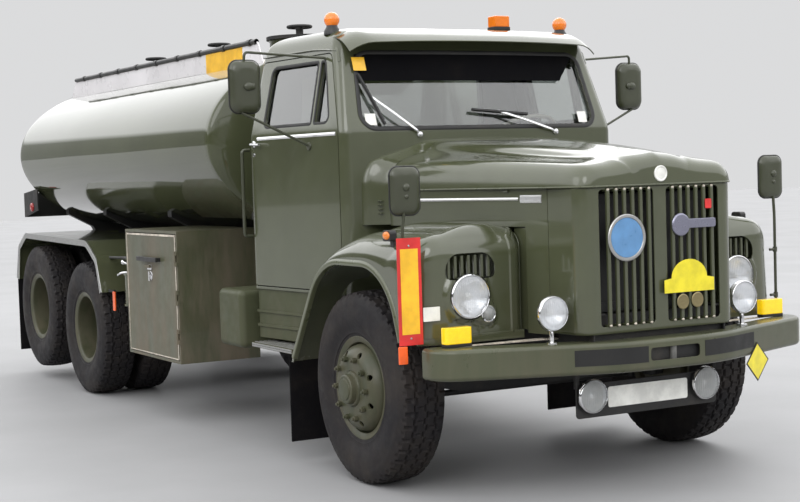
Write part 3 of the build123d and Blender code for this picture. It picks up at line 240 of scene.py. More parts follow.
def window_glass(name, colour):
    n = Nodes(name)
    smear = n.noise(3.0, 5.0, 0.6)
    n.link(n.mix(n.span(smear, 0.3, 0.7), colour, tone(colour, 0.95)), n.shader.inputs["Base Color"])
    n.link(n.span(smear, 0.45, 0.8, 0.0, 0.06), n.shader.inputs["Roughness"])
    n.set(Transmission_Weight=1.0, IOR=1.5, Coat_Weight=1.0, Coat_Roughness=0.0, Coat_IOR=1.7)
    n.link(n.bump(n.noise(0.8, 1.0), 0.2, 0.002), n.shader.inputs["Normal"])
    return n.material


def lamp_glass(name):
    """Ribbed clear glass in front of a reflector: mostly seen through, with a bright gloss."""
    n = Nodes(name)
    wave = n.add("ShaderNodeTexWave", wave_type="BANDS", bands_direction="Y")
    wave.inputs["Scale"].default_value = 26.0
    n.link(n.place, wave.inputs["Vector"])
    n.link(n.mix(n.span(n.noise(30.0), 0.3, 0.7), (0.84, 0.86, 0.88), (0.93, 0.94, 0.95)),
           n.shader.inputs["Base Color"])
    n.set(Roughness=0.06, IOR=1.4)
    n.link(n.bump(wave.outputs["Fac"], 0.5, 0.002), n.shader.inputs["Normal"])
    n.set(Transmission_Weight=0.45)
    clear = n.add("ShaderNodeBsdfTransparent")
    clear.inputs["Color"].default_value = (0.86, 0.88, 0.9, 1.0)
    blend = n.add("ShaderNodeMixShader")
    blend.inputs[0].default_value = 0.55
    n.link(clear.outputs[0], blend.inputs[1])
    n.link(n.shader.outputs[0], blend.inputs[2])
    n.link(blend.outputs[0], n.out.inputs[0])
    return n.material


def tyre_rubber(name):
    n = Nodes(name)
    colour = linear(22, 20, 23)
    spots = n.noise(14.0, 6.0, 0.7)
    base = n.mix(n.span(spots, 0.3, 0.7), tone(colour, 0.75), tone(colour, 1.3))
    film = n.math("MULTIPLY", n.span(n.noise(3.0, 6.0, 0.7), 0.35, 0.8), 0.16)
    n.link(n.mix(film, base, DUST), n.shader.inputs["Base Color"])
    n.link(n.span(spots, 0.3, 0.7, 0.55, 0.8), n.shader.inputs["Roughness"])
    n.set(Specular_IOR_Level=0.3)
    n.link(n.bump(n.noise(160.0, 4.0), 0.35, 0.001), n.shader.inputs["Normal"])
    return n.material


def woven(name, colour):
    n = Nodes(name)
    mapping = n.add("ShaderNodeMapping")
    mapping.inputs["Scale"].default_value = (330.0, 330.0, 330.0)
    n.link(n.place, mapping.inputs[0])
    checks = n.add("ShaderNodeTexChecker")
    checks.inputs["Scale"].default_value = 1.0
    n.link(mapping.outputs[0], checks.inputs["Vector"])
    blotch = n.noise(6.0, 4.0)
    base = n.mix(n.span(blotch, 0.3, 0.7), tone(colour, 0.8), tone(colour, 1.2))
    n.link(n.mix(n.math("MULTIPLY", checks.outputs["Fac"], 0.3), base, tone(colour, 0.5)),
           n.shader.inputs["Base Color"])
    n.set(Roughness=0.9, Sheen_Weight=0.3)
    n.link(n.bump(checks.outputs["Fac"], 0.4, 0.0008), n.shader.inputs["Normal"])
    return n.material


PAINT = painted("olive_enamel", OLIVE, coat=0.8, dust=0.3)
TANK_PAINT = painted("tank_enamel", tone(OLIVE, 0.97), rough=0.07, coat=0.7, wave=0.5, dust=0.06, dust_top=1.5,
                     shine=0.12)
BUMPER_PAINT = painted("bumper_enamel", tone(OLIVE, 0.92), rough=0.3, coat=0.25, dust=0.45, dust_top=1.1, shine=0.4)
STEP_PAINT = painted("step_enamel", tone(OLIVE, 0.9), rough=0.5, coat=0.05, dust=0.3, shine=0.25)
CLEAN_PAINT = painted("cab_enamel", OLIVE, rough=0.18, coat=0.6, dust=0.25, dust_top=1.2)
LOCKER_PAINT = painted("locker_enamel", tone(OLIVE, 1.0), rough=0.36, coat=0.15, dust=0.9, dust_top=2.6)
# Near-white coamings: a painted reflection of the bright sky on the olive coaming walls.
COAMING_SKY_REFLECTION = painted("coaming_painted_sky", linear(232, 229, 231), rough=0.3, coat=0.6, dust=0.14)
# A lighter copy of the olive enamel: a painted highlight on the rolled beads and arch lips.
PAINT_HIGHLIGHT = painted("edge_highlight_enamel", tone(OLIVE, 1.25), rough=0.3, dust=0.3)
# Pale sheet metal: worn bare, and on the bumper's top sheet also a painted reflection of the bright sky.
WORN_AND_SHEEN_SHEET = rough_metal("worn_and_sky_sheen_sheet", linear(200, 191, 176), rough=0.42, dust=0.4, grain=0.2)
WHEEL_PAINT = painted("wheel_enamel", tone(OLIVE, 0.75), rough=0.4, coat=0.1, dust=0.4, dust_top=2.0, wave=0.2,
                      shine=0.35)
CHASSIS = rough_metal("chassis_black", linear(27, 27, 27), rough=0.6, dust=0.2)
IRON = rough_metal("cast_iron", linear(104, 104, 101), rough=0.65, metal=0.3, scale=90)
CHROME = polished("chrome", (0.78, 0.78, 0.79))
ALUMINIUM = polished("aluminium", (0.46, 0.46, 0.45), rough=0.3, scratch=0.2)
BRASS = polished("brass", linear(150, 138, 104), rough=0.35)
PEWTER = polished("pewter", linear(150, 150, 166), rough=0.25)
MIRROR = polished("mirror_glass", (0.85, 0.86, 0.86), rough=0.0, scratch=0.02)
REFLECTOR = polished("lamp_reflector", (0.93, 0.93, 0.94), rough=0.22, scratch=0.1)
MIRROR_SHELL = painted("mirror_enamel", tone(OLIVE, 0.62), rough=0.35, coat=0.3, dust=0.1, wave=0.2)
BLACK_PLASTIC = moulded("black_plastic", linear(30, 30, 30), rough=0.4, dust=0.06)
RUBBER = moulded("seal_rubber", linear(38, 38, 38), rough=0.6, scale=120.0, dust=0.12)
FLAP = moulded("flap_rubber", linear(18, 17, 19), rough=0.85, grain=0.5, scale=80.0, dust=0.06, shine=0.1)
AMBER = lens("amber_lens", linear(240, 130, 20), glow=0.15)
YELLOW = lens("yellow_lens", linear(250, 214, 20), glow=0.3)
RED = lens("red_lens", linear(170, 20, 16), glow=0.05)
CLEAR = lamp_glass("lamp_glass")
GLASS = window_glass("window_glass", (0.80, 0.84, 0.82))
DOOR_GLASS = window_glass("door_glass", (0.38, 0.41, 0.39))
TYRE = tyre_rubber("tyre_rubber")
SEAT_CLOTH = woven("seat_cloth", linear(120, 106, 90))
DASH = moulded("dash_green", linear(100, 104, 84), rough=0.6, grain=0.35, scale=160.0)
WHITE = moulded("plate_white", linear(226, 226, 220), rough=0.35, grain=0.1, dust=0.1, coat=0.3)
# Near-black band inside the top of the screen: a sun band that also paints the shade under the visor.
SUN_BAND_AND_SHADE = moulded("sun_band_and_visor_shade", linear(15, 15, 17), rough=0.9, dust=0.02, shine=0.05)
PLAQUE_BLUE = moulded("plaque_blue", linear(88, 136, 182), rough=0.3, grain=0.1, dust=0.06, coat=0.5)
ORANGE = moulded("marker_orange", linear(235, 92, 20), rough=0.35, grain=0.1, dust=0.1, coat=0.3)
SIGN_RED = moulded("sign_red", linear(206, 36, 34), rough=0.35, grain=0.1, dust=0.06, coat=0.4)
STRIP_BLACK = moulded("strip_black", linear(16, 16, 16), rough=0.5, dust=0.04)
TRIM = polished("bright_trim", (0.88, 0.88, 0.88), rough=0.26, scratch=0.1)
LEMON = moulded("lemon", linear(226, 210, 34), rough=0.35, grain=0.1, dust=0.05, coat=0.4)
IVORY = moulded("ivory", linear(206, 198, 186), rough=0.3, dust=0.05, coat=0.4)
SIGN_YELLOW = moulded("sign_yellow", linear(244, 186, 30), rough=0.35, grain=0.1, dust=0.06, coat=0.4)

NODE_MATERIALS = {
    "paint": PAINT, "chassis": CHASSIS, "engine_iron": IRON, "chrome": CHROME, "glass": GLASS,
    "seat_cloth": SEAT_CLOTH, "cab_trim": BLACK_PLASTIC, "flap_rubber": FLAP, "amber": AMBER, "tyre": TYRE,
    "wheel_paint": WHEEL_PAINT,
}
OWN_MATERIALS = {"tank": TANK_PAINT, "dashboard": DASH, "radiator": CHASSIS, "grille_slats": CLEAN_PAINT,
                 "side_boxes": STEP_PAINT, "cab_steps": STEP_PAINT, "cabinets": LOCKER_PAINT, "cabinet_door_left": LOCKER_PAINT, "cabinet_door_right": LOCKER_PAINT,
                 "coamings": COAMING_SKY_REFLECTION, "tank_lid_1": CHASSIS, "tank_lid_2": CHASSIS, "tank_lid_3": CHASSIS,
                 # The rear lamp board is chassis black as painted shade: it stands in the shade under the tank's tail.
                 "rear_lamp_board": CHASSIS, "tank_saddles": CHASSIS, "door_glass_left": DOOR_GLASS,
                 "door_glass_right": DOOR_GLASS}


def finish_nodes():
    """Every CAD node gets its material."""
    slots = {row["node"]: row["material_slot"] for row in frame["record"]["subparts"]}
    for name, obj in nodes.items():
        obj.data.materials.clear()
        obj.data.materials.append(OWN_MATERIALS.get(name, NODE_MATERIALS[slots[name]]))


finish_nodes()



# Shapes: lists of points and faces, in metres from the front axle, until put() makes them a piece.
class Shape:
    def __init__(self, verts=(), faces=()):
        self.verts = [tuple(v) for v in verts]
        self.faces = [tuple(f) for f in faces]

    def __add__(self, other):
        shift = len(self.verts)
        return Shape(self.verts + other.verts, self.faces + [tuple(i + shift for i in f) for f in other.faces])

    def mapped(self, change, flip=False):
        faces = [tuple(reversed(f)) for f in self.faces] if flip else self.faces
        return Shape([change(*v) for v in self.verts], faces)

    def mirrored(self):
        return self.mapped(lambda x, y, z: (x, -y, z), flip=True)

    def moved(self, dx=0.0, dy=0.0, dz=0.0):
        return self.mapped(lambda x, y, z: (x + dx, y + dy, z + dz))

    def turned(self, matrix):
        return self.mapped(lambda x, y, z: tuple(matrix @ Vector((x, y, z))))


def total(shapes):
    out = Shape()
    for shape in shapes:
        out = out + shape
    return out


def both(shape):
    """The left shape and its mirror on the right."""
    return shape + shape.mirrored()


def temporary(shape):
    mesh = bpy.data.meshes.new("temporary")
    mesh.from_pydata([(x + AXLE_X, y, z) for x, y, z in shape.verts], [], shape.faces)
    mesh.validate()
    work = bmesh.new()
    work.from_mesh(mesh)
    bmesh.ops.remove_doubles(work, verts=work.verts, dist=1e-6)
    bmesh.ops.recalc_face_normals(work, faces=work.faces)
    work.to_mesh(mesh)
    work.free()
    obj = bpy.data.objects.new("temporary", mesh)
    bpy.context.scene.collection.objects.link(obj)
    return obj


def read_back(obj):
    """An object's final mesh as a shape; the object is removed."""
    graph = bpy.context.evaluated_depsgraph_get()
    mesh = bpy.data.meshes.new_from_object(obj.evaluated_get(graph))
    shape = Shape([(v.co.x - AXLE_X, v.co.y, v.co.z) for v in mesh.vertices],
                  [tuple(p.vertices) for p in mesh.polygons])
    bpy.data.objects.remove(obj)
    bpy.data.meshes.remove(mesh)
    return shape


def carved(shape, *cutters, how="DIFFERENCE"):
    """The shape less each cutter, or their common part or union."""
    obj = temporary(shape)
    tools = [temporary(cutter) for cutter in cutters]
    for tool in tools:
        step = obj.modifiers.new("cut", "BOOLEAN")
        step.operation = how
        step.solver = "EXACT"
        step.object = tool
    out = read_back(obj)
    for tool in tools:
        bpy.data.objects.remove(tool)
    return out


def soften(obj, bevel=0.0, segments=2, weighted=True, limit=32):
    """Rounded edges and even shading, as modifiers."""
    if bevel:
        step = obj.modifiers.new("edges", "BEVEL")
        step.width = bevel
        step.segments = segments
        step.limit_method = "ANGLE"
        step.angle_limit = math.radians(limit)
        step.use_clamp_overlap = True
        step.miter_outer = "MITER_ARC"
    if weighted:
        step = obj.modifiers.new("normals", "WEIGHTED_NORMAL")
        step.keep_sharp = True


def put(name, shape, material, body="root", replaces=(), smooth=38, bevel=0.0, segments=2,
        weighted=True, limit=32):
    """Make a piece of the scene from a shape and let it ride on a body."""
    obj = temporary(shape)
    obj.name = name
    mesh = obj.data
    mesh.name = name
    for polygon in mesh.polygons:
        polygon.use_smooth = True
    if not bevel:
        mesh.set_sharp_from_angle(angle=math.radians(smooth))
    mesh.materials.append(material)
    soften(obj, bevel, segments, weighted, limit)
    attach(obj, body)
    if replaces:
        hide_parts(*replaces)
    return obj


def box(x0, x1, y0, y1, z0, z1):
    verts = [(x, y, z) for x in (x0, x1) for y in (y0, y1) for z in (z0, z1)]
    faces = [(0, 1, 3, 2), (4, 6, 7, 5), (0, 4, 5, 1), (2, 3, 7, 6), (0, 2, 6, 4), (1, 5, 7, 3)]
    return Shape(verts, faces)


def grid(rows, close_rows=False, close_ends=False, cap_start=False, cap_end=False):
    """Faces between rows of points; close_rows joins each row to a ring, close_ends the last row to the first."""
    count = len(rows[0])
    verts = [p for row in rows for p in row]
    faces = []
    steps = len(rows) if close_ends else len(rows) - 1
    across = count if close_rows else count - 1
    for i in range(steps):
        a, b = i * count, ((i + 1) % len(rows)) * count
        for j in range(across):
            k = (j + 1) % count
            faces.append((a + j, a + k, b + k, b + j))
    if cap_start:
        faces.append(tuple(range(count)))
    if cap_end:
        faces.append(tuple(reversed(range((len(rows) - 1) * count, len(rows) * count))))
    return Shape(verts, faces)


def revolved(profile, axis="y", steps=64, centre=(0.0, 0.0, 0.0), closed=False):
    """Turn a profile of (along, radius) about an axis through centre."""
    cx, cy, cz = centre
    rows = []
    for i in range(steps):
        angle = 2 * math.pi * i / steps
        c, s = math.cos(angle), math.sin(angle)
        if axis == "y":
            rows.append([(cx + r * c, cy + a, cz + r * s) for a, r in profile])
        elif axis == "x":
            rows.append([(cx + a, cy + r * c, cz + r * s) for a, r in profile])
        else:
            rows.append([(cx + r * c, cy + r * s, cz + a) for a, r in profile])
    return grid(rows, close_rows=closed, close_ends=True)


def corner_path(table, closed=True, step=0.02, pieces=None):
    """Points along a line of corners (a, b, radius), with round corners as arcs."""
    count = len(table)
    out = []
    for i, (a, b, r) in enumerate(table):
        if r <= 0 or (not closed and i in (0, count - 1)):
            out.append((a, b))
            continue
        here = Vector((a, b))
        before = (Vector(table[i - 1][:2]) - here).normalized()
        after = (Vector(table[(i + 1) % count][:2]) - here).normalized()
        half = before.angle(after) / 2
        if math.pi / 2 - half < 1e-4:
            out.append((a, b))
            continue
        middle = here + (before + after).normalized() * (r / math.sin(half))
        start = here + before * (r / math.tan(half))
        end = here + after * (r / math.tan(half))
        first, last = start - middle, end - middle
        sweep = first.angle_signed(last)
        arcs = pieces or max(4, int(abs(sweep) * r / step) + 1)
        for k in range(arcs + 1):
            turn = -sweep * k / arcs
            c, s = math.cos(turn), math.sin(turn)
            out.append((middle.x + first.x * c - first.y * s, middle.y + first.x * s + first.y * c))
    return out



def finely(points, gap):
    """A closed line with its points no further apart than a gap."""
    out = []
    for a, b in zip(points, points[1:] + points[:1]):
        a, b = Vector(a), Vector(b)
        pieces = max(1, math.ceil((b - a).length / gap))
        out += [tuple(a.lerp(b, k / pieces)) for k in range(pieces)]
    return out


def prism(points, axis, low, high):
    """A closed outline, extruded. Points are (y, z) for x, (x, z) for y and (x, y) for z."""
    def at(a, b, c):
        return {"x": (c, a, b), "y": (a, c, b), "z": (a, b, c)}[axis]
    rows = [[at(a, b, c) for a, b in points] for c in (low, high)]
    return grid(rows, close_rows=True, cap_start=True, cap_end=True)


def rounded_plate(table, axis, low, high, step=0.012):
    return prism(corner_path(table, step=step), axis, low, high)


def sweep(points, section, closed=False, up=None, caps=True):
    """A section of (side, above) pairs carried along a path; up is a fixed direction or turns with the path."""
    pts = [Vector(p) for p in points]
    count = len(pts)
    rows = []
    normal = Vector(up) if up else None
    for i, p in enumerate(pts):
        ahead = pts[(i + 1) % count] if closed or i < count - 1 else p
        back = pts[i - 1] if closed or i > 0 else p
        along = (ahead - back).normalized()
        if normal is None:
            normal = along.orthogonal().normalized()
        base = Vector(up) if up else normal
        above = (base - along * base.dot(along)).normalized()
        normal = above
        side = along.cross(above)
        rows.append([tuple(p + side * a + above * b) for a, b in section])
    return grid(rows, close_rows=True, close_ends=closed, cap_start=caps and not closed,
                cap_end=caps and not closed)


def ring(radius, around=10, squash=1.0):
    return [(radius * math.cos(2 * math.pi * k / around), squash * radius * math.sin(2 * math.pi * k / around))
            for k in range(around)]


def tube(points, radius, around=10, closed=False, caps=True):
    """A round bar along a path."""
    return sweep(points, ring(radius, around), closed=closed, caps=caps)


def bent(points, radius, pieces=6):
    """A path with its inner corners rounded off."""
    pts = [Vector(p) for p in points]
    out = [tuple(pts[0])]
    for a, b, c in zip(pts, pts[1:], pts[2:]):
        before, after = (a - b), (c - b)
        cut = min(radius, before.length * 0.45, after.length * 0.45)
        start, end = b + before.normalized() * cut, b + after.normalized() * cut
        for k in range(pieces + 1):
            t = k / pieces
            out.append(tuple(start * (1 - t) ** 2 + b * 2 * t * (1 - t) + end * t * t))
    return out + [tuple(pts[-1])]


def ball(centre, radius, squash=(1.0, 1.0, 1.0), steps=20):
    rows = []
    for i in range(steps // 2 + 1):
        lat = -math.pi / 2 + math.pi * i / (steps // 2)
        rows.append([(centre[0] + radius * squash[0] * math.cos(lat) * math.cos(t),
                      centre[1] + radius * squash[1] * math.cos(lat) * math.sin(t),
                      centre[2] + radius * squash[2] * math.sin(lat))
                     for t in (2 * math.pi * k / steps for k in range(steps))])
    return grid(rows, close_rows=True)


def smooth_rows(rows, pieces):
    """Rows of numbers with Catmull-Rom steps between them."""
    out = []
    last = len(rows) - 1
    for i in range(last):
        p0, p1, p2, p3 = rows[max(i - 1, 0)], rows[i], rows[i + 1], rows[min(i + 2, last)]
        for k in range(pieces):
            t = k / pieces
            out.append([0.5 * (2 * b + (c - a) * t + (2 * a - 5 * b + 4 * c - d) * t * t
                               + (3 * b - a - 3 * c + d) * t ** 3)
                        for a, b, c, d in zip(p0, p1, p2, p3)])
    return out + [list(rows[-1])]


def spline(points, pieces):
    """A cubic B-spline through the area of its control points, from the first to the last."""
    pts = [Vector(points[0])] * 2 + [Vector(p) for p in points] + [Vector(points[-1])] * 2
    out = []
    for i in range(len(pts) - 3):
        a, b, c, d = pts[i:i + 4]
        for k in range(pieces):
            t = k / pieces
            out.append(tuple((a * (1 - t) ** 3 + b * (3 * t ** 3 - 6 * t * t + 4)
                              + c * (-3 * t ** 3 + 3 * t * t + 3 * t + 1) + d * t ** 3) / 6))
    return out + [tuple(pts[-1])]


def nuts(centre, axis, count, circle, size, length, turn=0.0):
    """A ring of hexagon nuts on studs, on a face that looks along y."""
    out = Shape()
    cx, cy, cz = centre
    for i in range(count):
        angle = 2 * math.pi * (i + turn) / count
        px, pz = cx + circle * math.cos(angle), cz + circle * math.sin(angle)
        profile = [(px + size * math.cos(math.pi * k / 3 + angle), pz + size * math.sin(math.pi * k / 3 + angle))
                   for k in range(6)]
        low, high = sorted((cy, cy + length))
        out = out + prism(profile, "y", low, high)
        low, high = sorted((cy, cy + length * 1.5))
        stud = [(px + size * 0.5 * math.cos(math.pi * k / 5), pz + size * 0.5 * math.sin(math.pi * k / 5))
                for k in range(10)]
        out = out + prism(stud, "y", low, high)
    return out


# Wheels
TYRE_RADIUS = 0.533
TYRE_HALF = 0.1425
TREAD_HALF = 0.113
PITCHES = 44
STEPS_PER_PITCH = 8
GROOVE = 0.013
TWIN_SPACING = 0.330
DISC_FACE = 0.165
NUT_CIRCLE = 0.1675
HOLE_CIRCLE = 0.200
HOLE_RADIUS = 0.0165
WHEEL_Y = {"front": 1.040, "drive": 0.932, "tag": 0.932}


def tread_radius(a, step):
    """Radius of the tread at a distance a from the middle: zigzag grooves and shoulder blocks."""
    crown = TYRE_RADIUS - 0.010 * (abs(a) / TREAD_HALF) ** 2.4
    phase = (step % STEPS_PER_PITCH) / STEPS_PER_PITCH
    zig = 0.007 * (1 if phase < 0.5 else -1)
    depth = 0.0
    for line in (-0.062, 0.0, 0.062):
        if abs(a - line - zig) < 0.0058:
            depth = GROOVE
    side = 1 if a > 0 else -1
    shifted = (phase + (0.25 if side > 0 else 0.75)) % 1.0
    if abs(a) > 0.078 and shifted < 0.25:
        depth = GROOVE * min(1.0, (abs(a) - 0.070) / 0.02)
    if 0.018 < abs(a) < 0.046 and abs(shifted - 0.5) < 0.07:
        depth = GROOVE * 0.6
    return crown - depth


def tyre(y):
    side = ((0.097, 0.256), (0.104, 0.268), (0.112, 0.280), (0.1165, 0.292), (0.118, 0.300), (0.1225, 0.304),
            (0.1225, 0.312), (0.127, 0.330), (0.1355, 0.355), (0.1415, 0.385), (TYRE_HALF, 0.412), (0.1405, 0.438),
            (0.1375, 0.458), (0.1375, 0.464), (0.1335, 0.478), (0.126, 0.500), (0.119, 0.514))
    across = 30
    rows = []
    steps = PITCHES * STEPS_PER_PITCH
    for i in range(steps):
        angle = 2 * math.pi * i / steps
        shoulder = 0.006 if (i % STEPS_PER_PITCH) in (2, 3) else 0.0
        loop = [(a, r) for a, r in side[:-1]] + [(side[-1][0] - shoulder, side[-1][1] - shoulder)]
        for k in range(across + 1):
            a = TREAD_HALF - 2 * TREAD_HALF * k / across
            loop.append((a, tread_radius(a, i)))
        other = 0.006 if (i % STEPS_PER_PITCH) in (6, 7) else 0.0
        loop += [(-side[-1][0] + other, side[-1][1] - other)] + [(-a, r) for a, r in reversed(side[:-1])]
        c, s = math.cos(angle), math.sin(angle)
        rows.append([(r * c, y + a, r * s) for a, r in loop])
    return grid(rows, close_rows=True, close_ends=True)


def rim(outward):
    """Rim and disc about the y axis; the disc's face stands DISC_FACE on the outward side."""
    flange, seat, well, wall = 0.288, 0.258, 0.247, 0.006
    barrel = [(-0.1165, flange - 0.004), (-0.1125, flange), (-0.107, flange - 0.002), (-0.104, flange - 0.016),
              (-0.098, seat), (0.098, seat), (0.104, flange - 0.016), (0.107, flange - 0.002), (0.1125, flange),
              (0.1165, flange - 0.004), (0.112, flange - 0.020), (0.104, seat - 0.006), (0.092, well),
              (-0.092, well), (-0.104, seat - 0.006), (-0.112, flange - 0.020)]
    disc = [(0.056, well + 0.001), (0.085, 0.243), (0.122, 0.232), (0.145, 0.213), (0.157, 0.192), (0.163, 0.174),
            (DISC_FACE, 0.158), (DISC_FACE, 0.100), (DISC_FACE - 0.011, 0.100), (DISC_FACE - 0.011, 0.160),
            (0.151, 0.174), (0.145, 0.188), (0.134, 0.206), (0.113, 0.222), (0.082, 0.232), (0.050, 0.238)]
    shape = revolved(barrel, steps=96, closed=True)
    face = revolved(disc, steps=96, closed=True)
    holes = []
    for i in range(8):
        angle = 2 * math.pi * (i + 0.5) / 8
        x, z = HOLE_CIRCLE * math.cos(angle), HOLE_CIRCLE * math.sin(angle)
        ring = [(x + HOLE_RADIUS * math.cos(2 * math.pi * k / 20), z + HOLE_RADIUS * math.sin(2 * math.pi * k / 20))
                for k in range(20)]
        holes.append(prism(ring, "y", 0.06, 0.25))
    face = carved(face, *holes)
    shape = shape + face
    return shape if outward > 0 else shape.mirrored()


def make_wheels():
    front_hub = [(-0.112, 0.0), (-0.112, 0.205), (-0.020, 0.205), (-0.012, 0.198), (-0.012, 0.135), (0.150, 0.135),
                 (0.154, 0.158), (0.1535, 0.1), (0.168, 0.098), (0.176, 0.092), (0.178, 0.084), (0.205, 0.080),
                 (0.210, 0.074), (0.210, 0.060), (0.215, 0.058), (0.218, 0.050), (0.219, 0.0)]
    rear_hub = [(-0.095, 0.0), (-0.095, 0.205), (-0.014, 0.205), (-0.014, 0.140), (0.011, 0.140), (0.0115, 0.098),
                (0.085, 0.095), (0.096, 0.110), (0.112, 0.112), (0.116, 0.108), (0.116, 0.060), (0.150, 0.056),
                (0.155, 0.048), (0.156, 0.0)]
    rim_front = rim(1)
    rim_outer, rim_inner = rim(-1), rim(1)
    one_tyre = tyre(0.0)
    for name, twin in (("front", False), ("drive", True), ("tag", True)):
        low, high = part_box(f"{name}_wheel_left")
        x, z = (low.x + high.x) / 2 - AXLE_X, (low.z + high.z) / 2
        y = WHEEL_Y[name]
        if twin:
            half = TWIN_SPACING / 2
            metal = rim_outer.moved(dy=half) + rim_inner.moved(dy=-half) + revolved(rear_hub, steps=48)
            metal = metal + nuts((0, 0.0, 0), "y", 10, NUT_CIRCLE, 0.017, 0.024)
            metal = metal + nuts((0, 0.116, 0), "y", 8, 0.088, 0.010, 0.010)
            rubber = one_tyre.moved(dy=half) + one_tyre.moved(dy=-half)
        else:
            metal = rim_front + revolved(front_hub, steps=48) + nuts((0, DISC_FACE, 0), "y", 10, NUT_CIRCLE, 0.017, 0.022)
            metal = metal + nuts((0, 0.176, 0), "y", 6, 0.071, 0.0075, 0.008)
            rubber = one_tyre
        for side in ("left", "right"):
            body = f"{name}_wheel_{side}"
            for kind, shape, material in (("rim", metal, WHEEL_PAINT), ("rubber", rubber, TYRE)):
                placed = shape.moved(x, y, z)
                if side == "right":
                    placed = placed.mirrored()
                node = f"{name}_{'wheel' if kind == 'rim' else 'tyre'}_{side}"
                put(f"{name}_{kind}_{side}", placed, material, body,
                    replaces=(node,), smooth=32, weighted=kind == "rim")


make_wheels()


def thickened(shape, thickness):
    """An open surface as a closed sheet; a positive thickness grows against the surface's own side."""
    obj = temporary(shape)
    step = obj.modifiers.new("sheet", "SOLIDIFY")
    step.thickness = thickness
    step.offset = -1.0
    step.use_even_offset = False
    return read_back(obj)


def inset_table(table, amount):
    """Corners of a closed outline, moved inwards by amount; a negative amount moves them out."""
    count = len(table)
    area = sum(table[i - 1][0] * table[i][1] - table[i][0] * table[i - 1][1] for i in range(count))
    turn = 1 if area > 0 else -1
    out = []
    for i, (a, b, r) in enumerate(table):
        before, here, after = (Vector(table[k % count][:2]) for k in (i - 1, i, i + 1))
        first, second = (here - before).normalized(), (after - here).normalized()
        inward_1, inward_2 = (Vector((-d.y, d.x)) * turn for d in (first, second))
        middle = (inward_1 + inward_2).normalized()
        reach = amount / max(0.2, middle.dot(inward_1))
        moved = here + middle * reach
        convex = (first.x * second.y - first.y * second.x) * turn > 0
        out.append((moved.x, moved.y, max(0.002, r - amount if convex else r + amount) if r > 0 else 0))
    return out


# Cab
CAB_WALL = 0.045
CAB_FLOOR = 1.000
CAB_BELT = 1.955
CAB_EAVE = 2.460
# Cab outlines by level: height, front middle x, front corner x, front corner y, rear x, rear y
CAB_LEVELS = (
    (CAB_FLOOR, -0.418, -0.478, 0.966, -1.610, 1.085),
    (CAB_BELT, -0.418, -0.478, 0.966, -1.610, 1.085),
    (CAB_EAVE, -0.590, -0.648, 0.892, -1.602, 0.966),
    (2.532, -0.622, -0.682, 0.862, -1.568, 0.934),
    (2.576, -0.710, -0.770, 0.780, -1.480, 0.850),
    (2.598, -0.900, -0.960, 0.560, -1.300, 0.640),
    (2.601, -1.060, -1.062, 0.330, -1.150, 0.340),
)
DOOR_OUTLINE = (
    (-1.540, 1.016, 0.03), (-0.730, 1.016, 0.06), (-0.524, 1.165, 0.04), (-0.524, 1.965, 0.12),
    (-0.700, 2.428, 0.05), (-1.540, 2.428, 0.05),
)
DOOR_GAP = 0.006
WINDOW_OUTLINE = ((-1.395, 2.012, 0.05), (-0.838, 2.012, 0.014), (-0.838, 2.382, 0.014), (-1.395, 2.382, 0.05))
VENT_OUTLINE = ((-0.806, 2.012, 0.014), (-0.634, 2.012, 0.04), (-0.757, 2.382, 0.03), (-0.806, 2.382, 0.01))
SCREEN_OUTLINE = ((-0.838, 1.972, 0.085), (0.838, 1.972, 0.085), (0.792, 2.418, 0.085), (-0.792, 2.418, 0.085))
REAR_WINDOW = ((-0.7, 2.0, 0.06), (0.7, 2.0, 0.06), (0.68, 2.36, 0.06), (-0.68, 2.36, 0.06))
CORNER_FRONT = 0.075
CORNER_REAR = 0.090


def cab_ring(level, inset=0.0, drop=0.0):
    z, mid_x, front_x, front_y, rear_x, rear_y = level
    front, rear = (CORNER_FRONT, CORNER_REAR) if z < 2.59 else (0.06, 0.06)
    right = [(mid_x - inset, -min(0.3, front_y * 0.4), min(0.5, front_y * 0.6)),
             (front_x - inset, -front_y + inset, front), (rear_x + inset, -rear_y + inset, rear)]
    table = right + [(a, -b, r) for a, b, r in reversed(right)]
    return [(x, y, z - drop) for x, y in corner_path(table, pieces=8)]


def cab_form(inset, bottom, drop):
    """The cab as one closed body, inset from its outer skin."""
    low, belt, eave = CAB_LEVELS[0], CAB_LEVELS[1], CAB_LEVELS[2]
    rows = [(bottom, *low[1:])]
    rows += [(z, *low[1:]) for z in (1.3, 1.6, 1.935)]
    for share in (0.04, 0.2, 0.4, 0.6, 0.8, 0.96):
        rows.append([a + (b - a) * share for a, b in zip(belt, eave)])
    for row in smooth_rows(CAB_LEVELS[2:], 5):
        rows.append(row)
    rings = [cab_ring(row, inset, drop if row[0] > 2.4 else 0.0) for row in rows]
    return grid(rings, close_rows=True, cap_start=True, cap_end=True)


def surface_tree(shape):
    """For finding points on a surface."""
    return BVHTree.FromPolygons([Vector(v) for v in shape.verts], shape.faces)


def on_front(tree, y, z, proud=0.0):
    hit = tree.ray_cast(Vector((5, y, z)), Vector((-1, 0, 0)))[0]
    return (hit.x + proud, y, z)


def on_side(tree, x, z, proud=0.0):
    hit = tree.ray_cast(Vector((x, 5, z)), Vector((0, -1, 0)))[0]
    return (x, hit.y + proud, z)


def on_top(tree, x, y, proud=0.0):
    hit = tree.ray_cast(Vector((x, y, 5)), Vector((0, 0, -1)))[0]
    return (x, y, hit.z + proud)


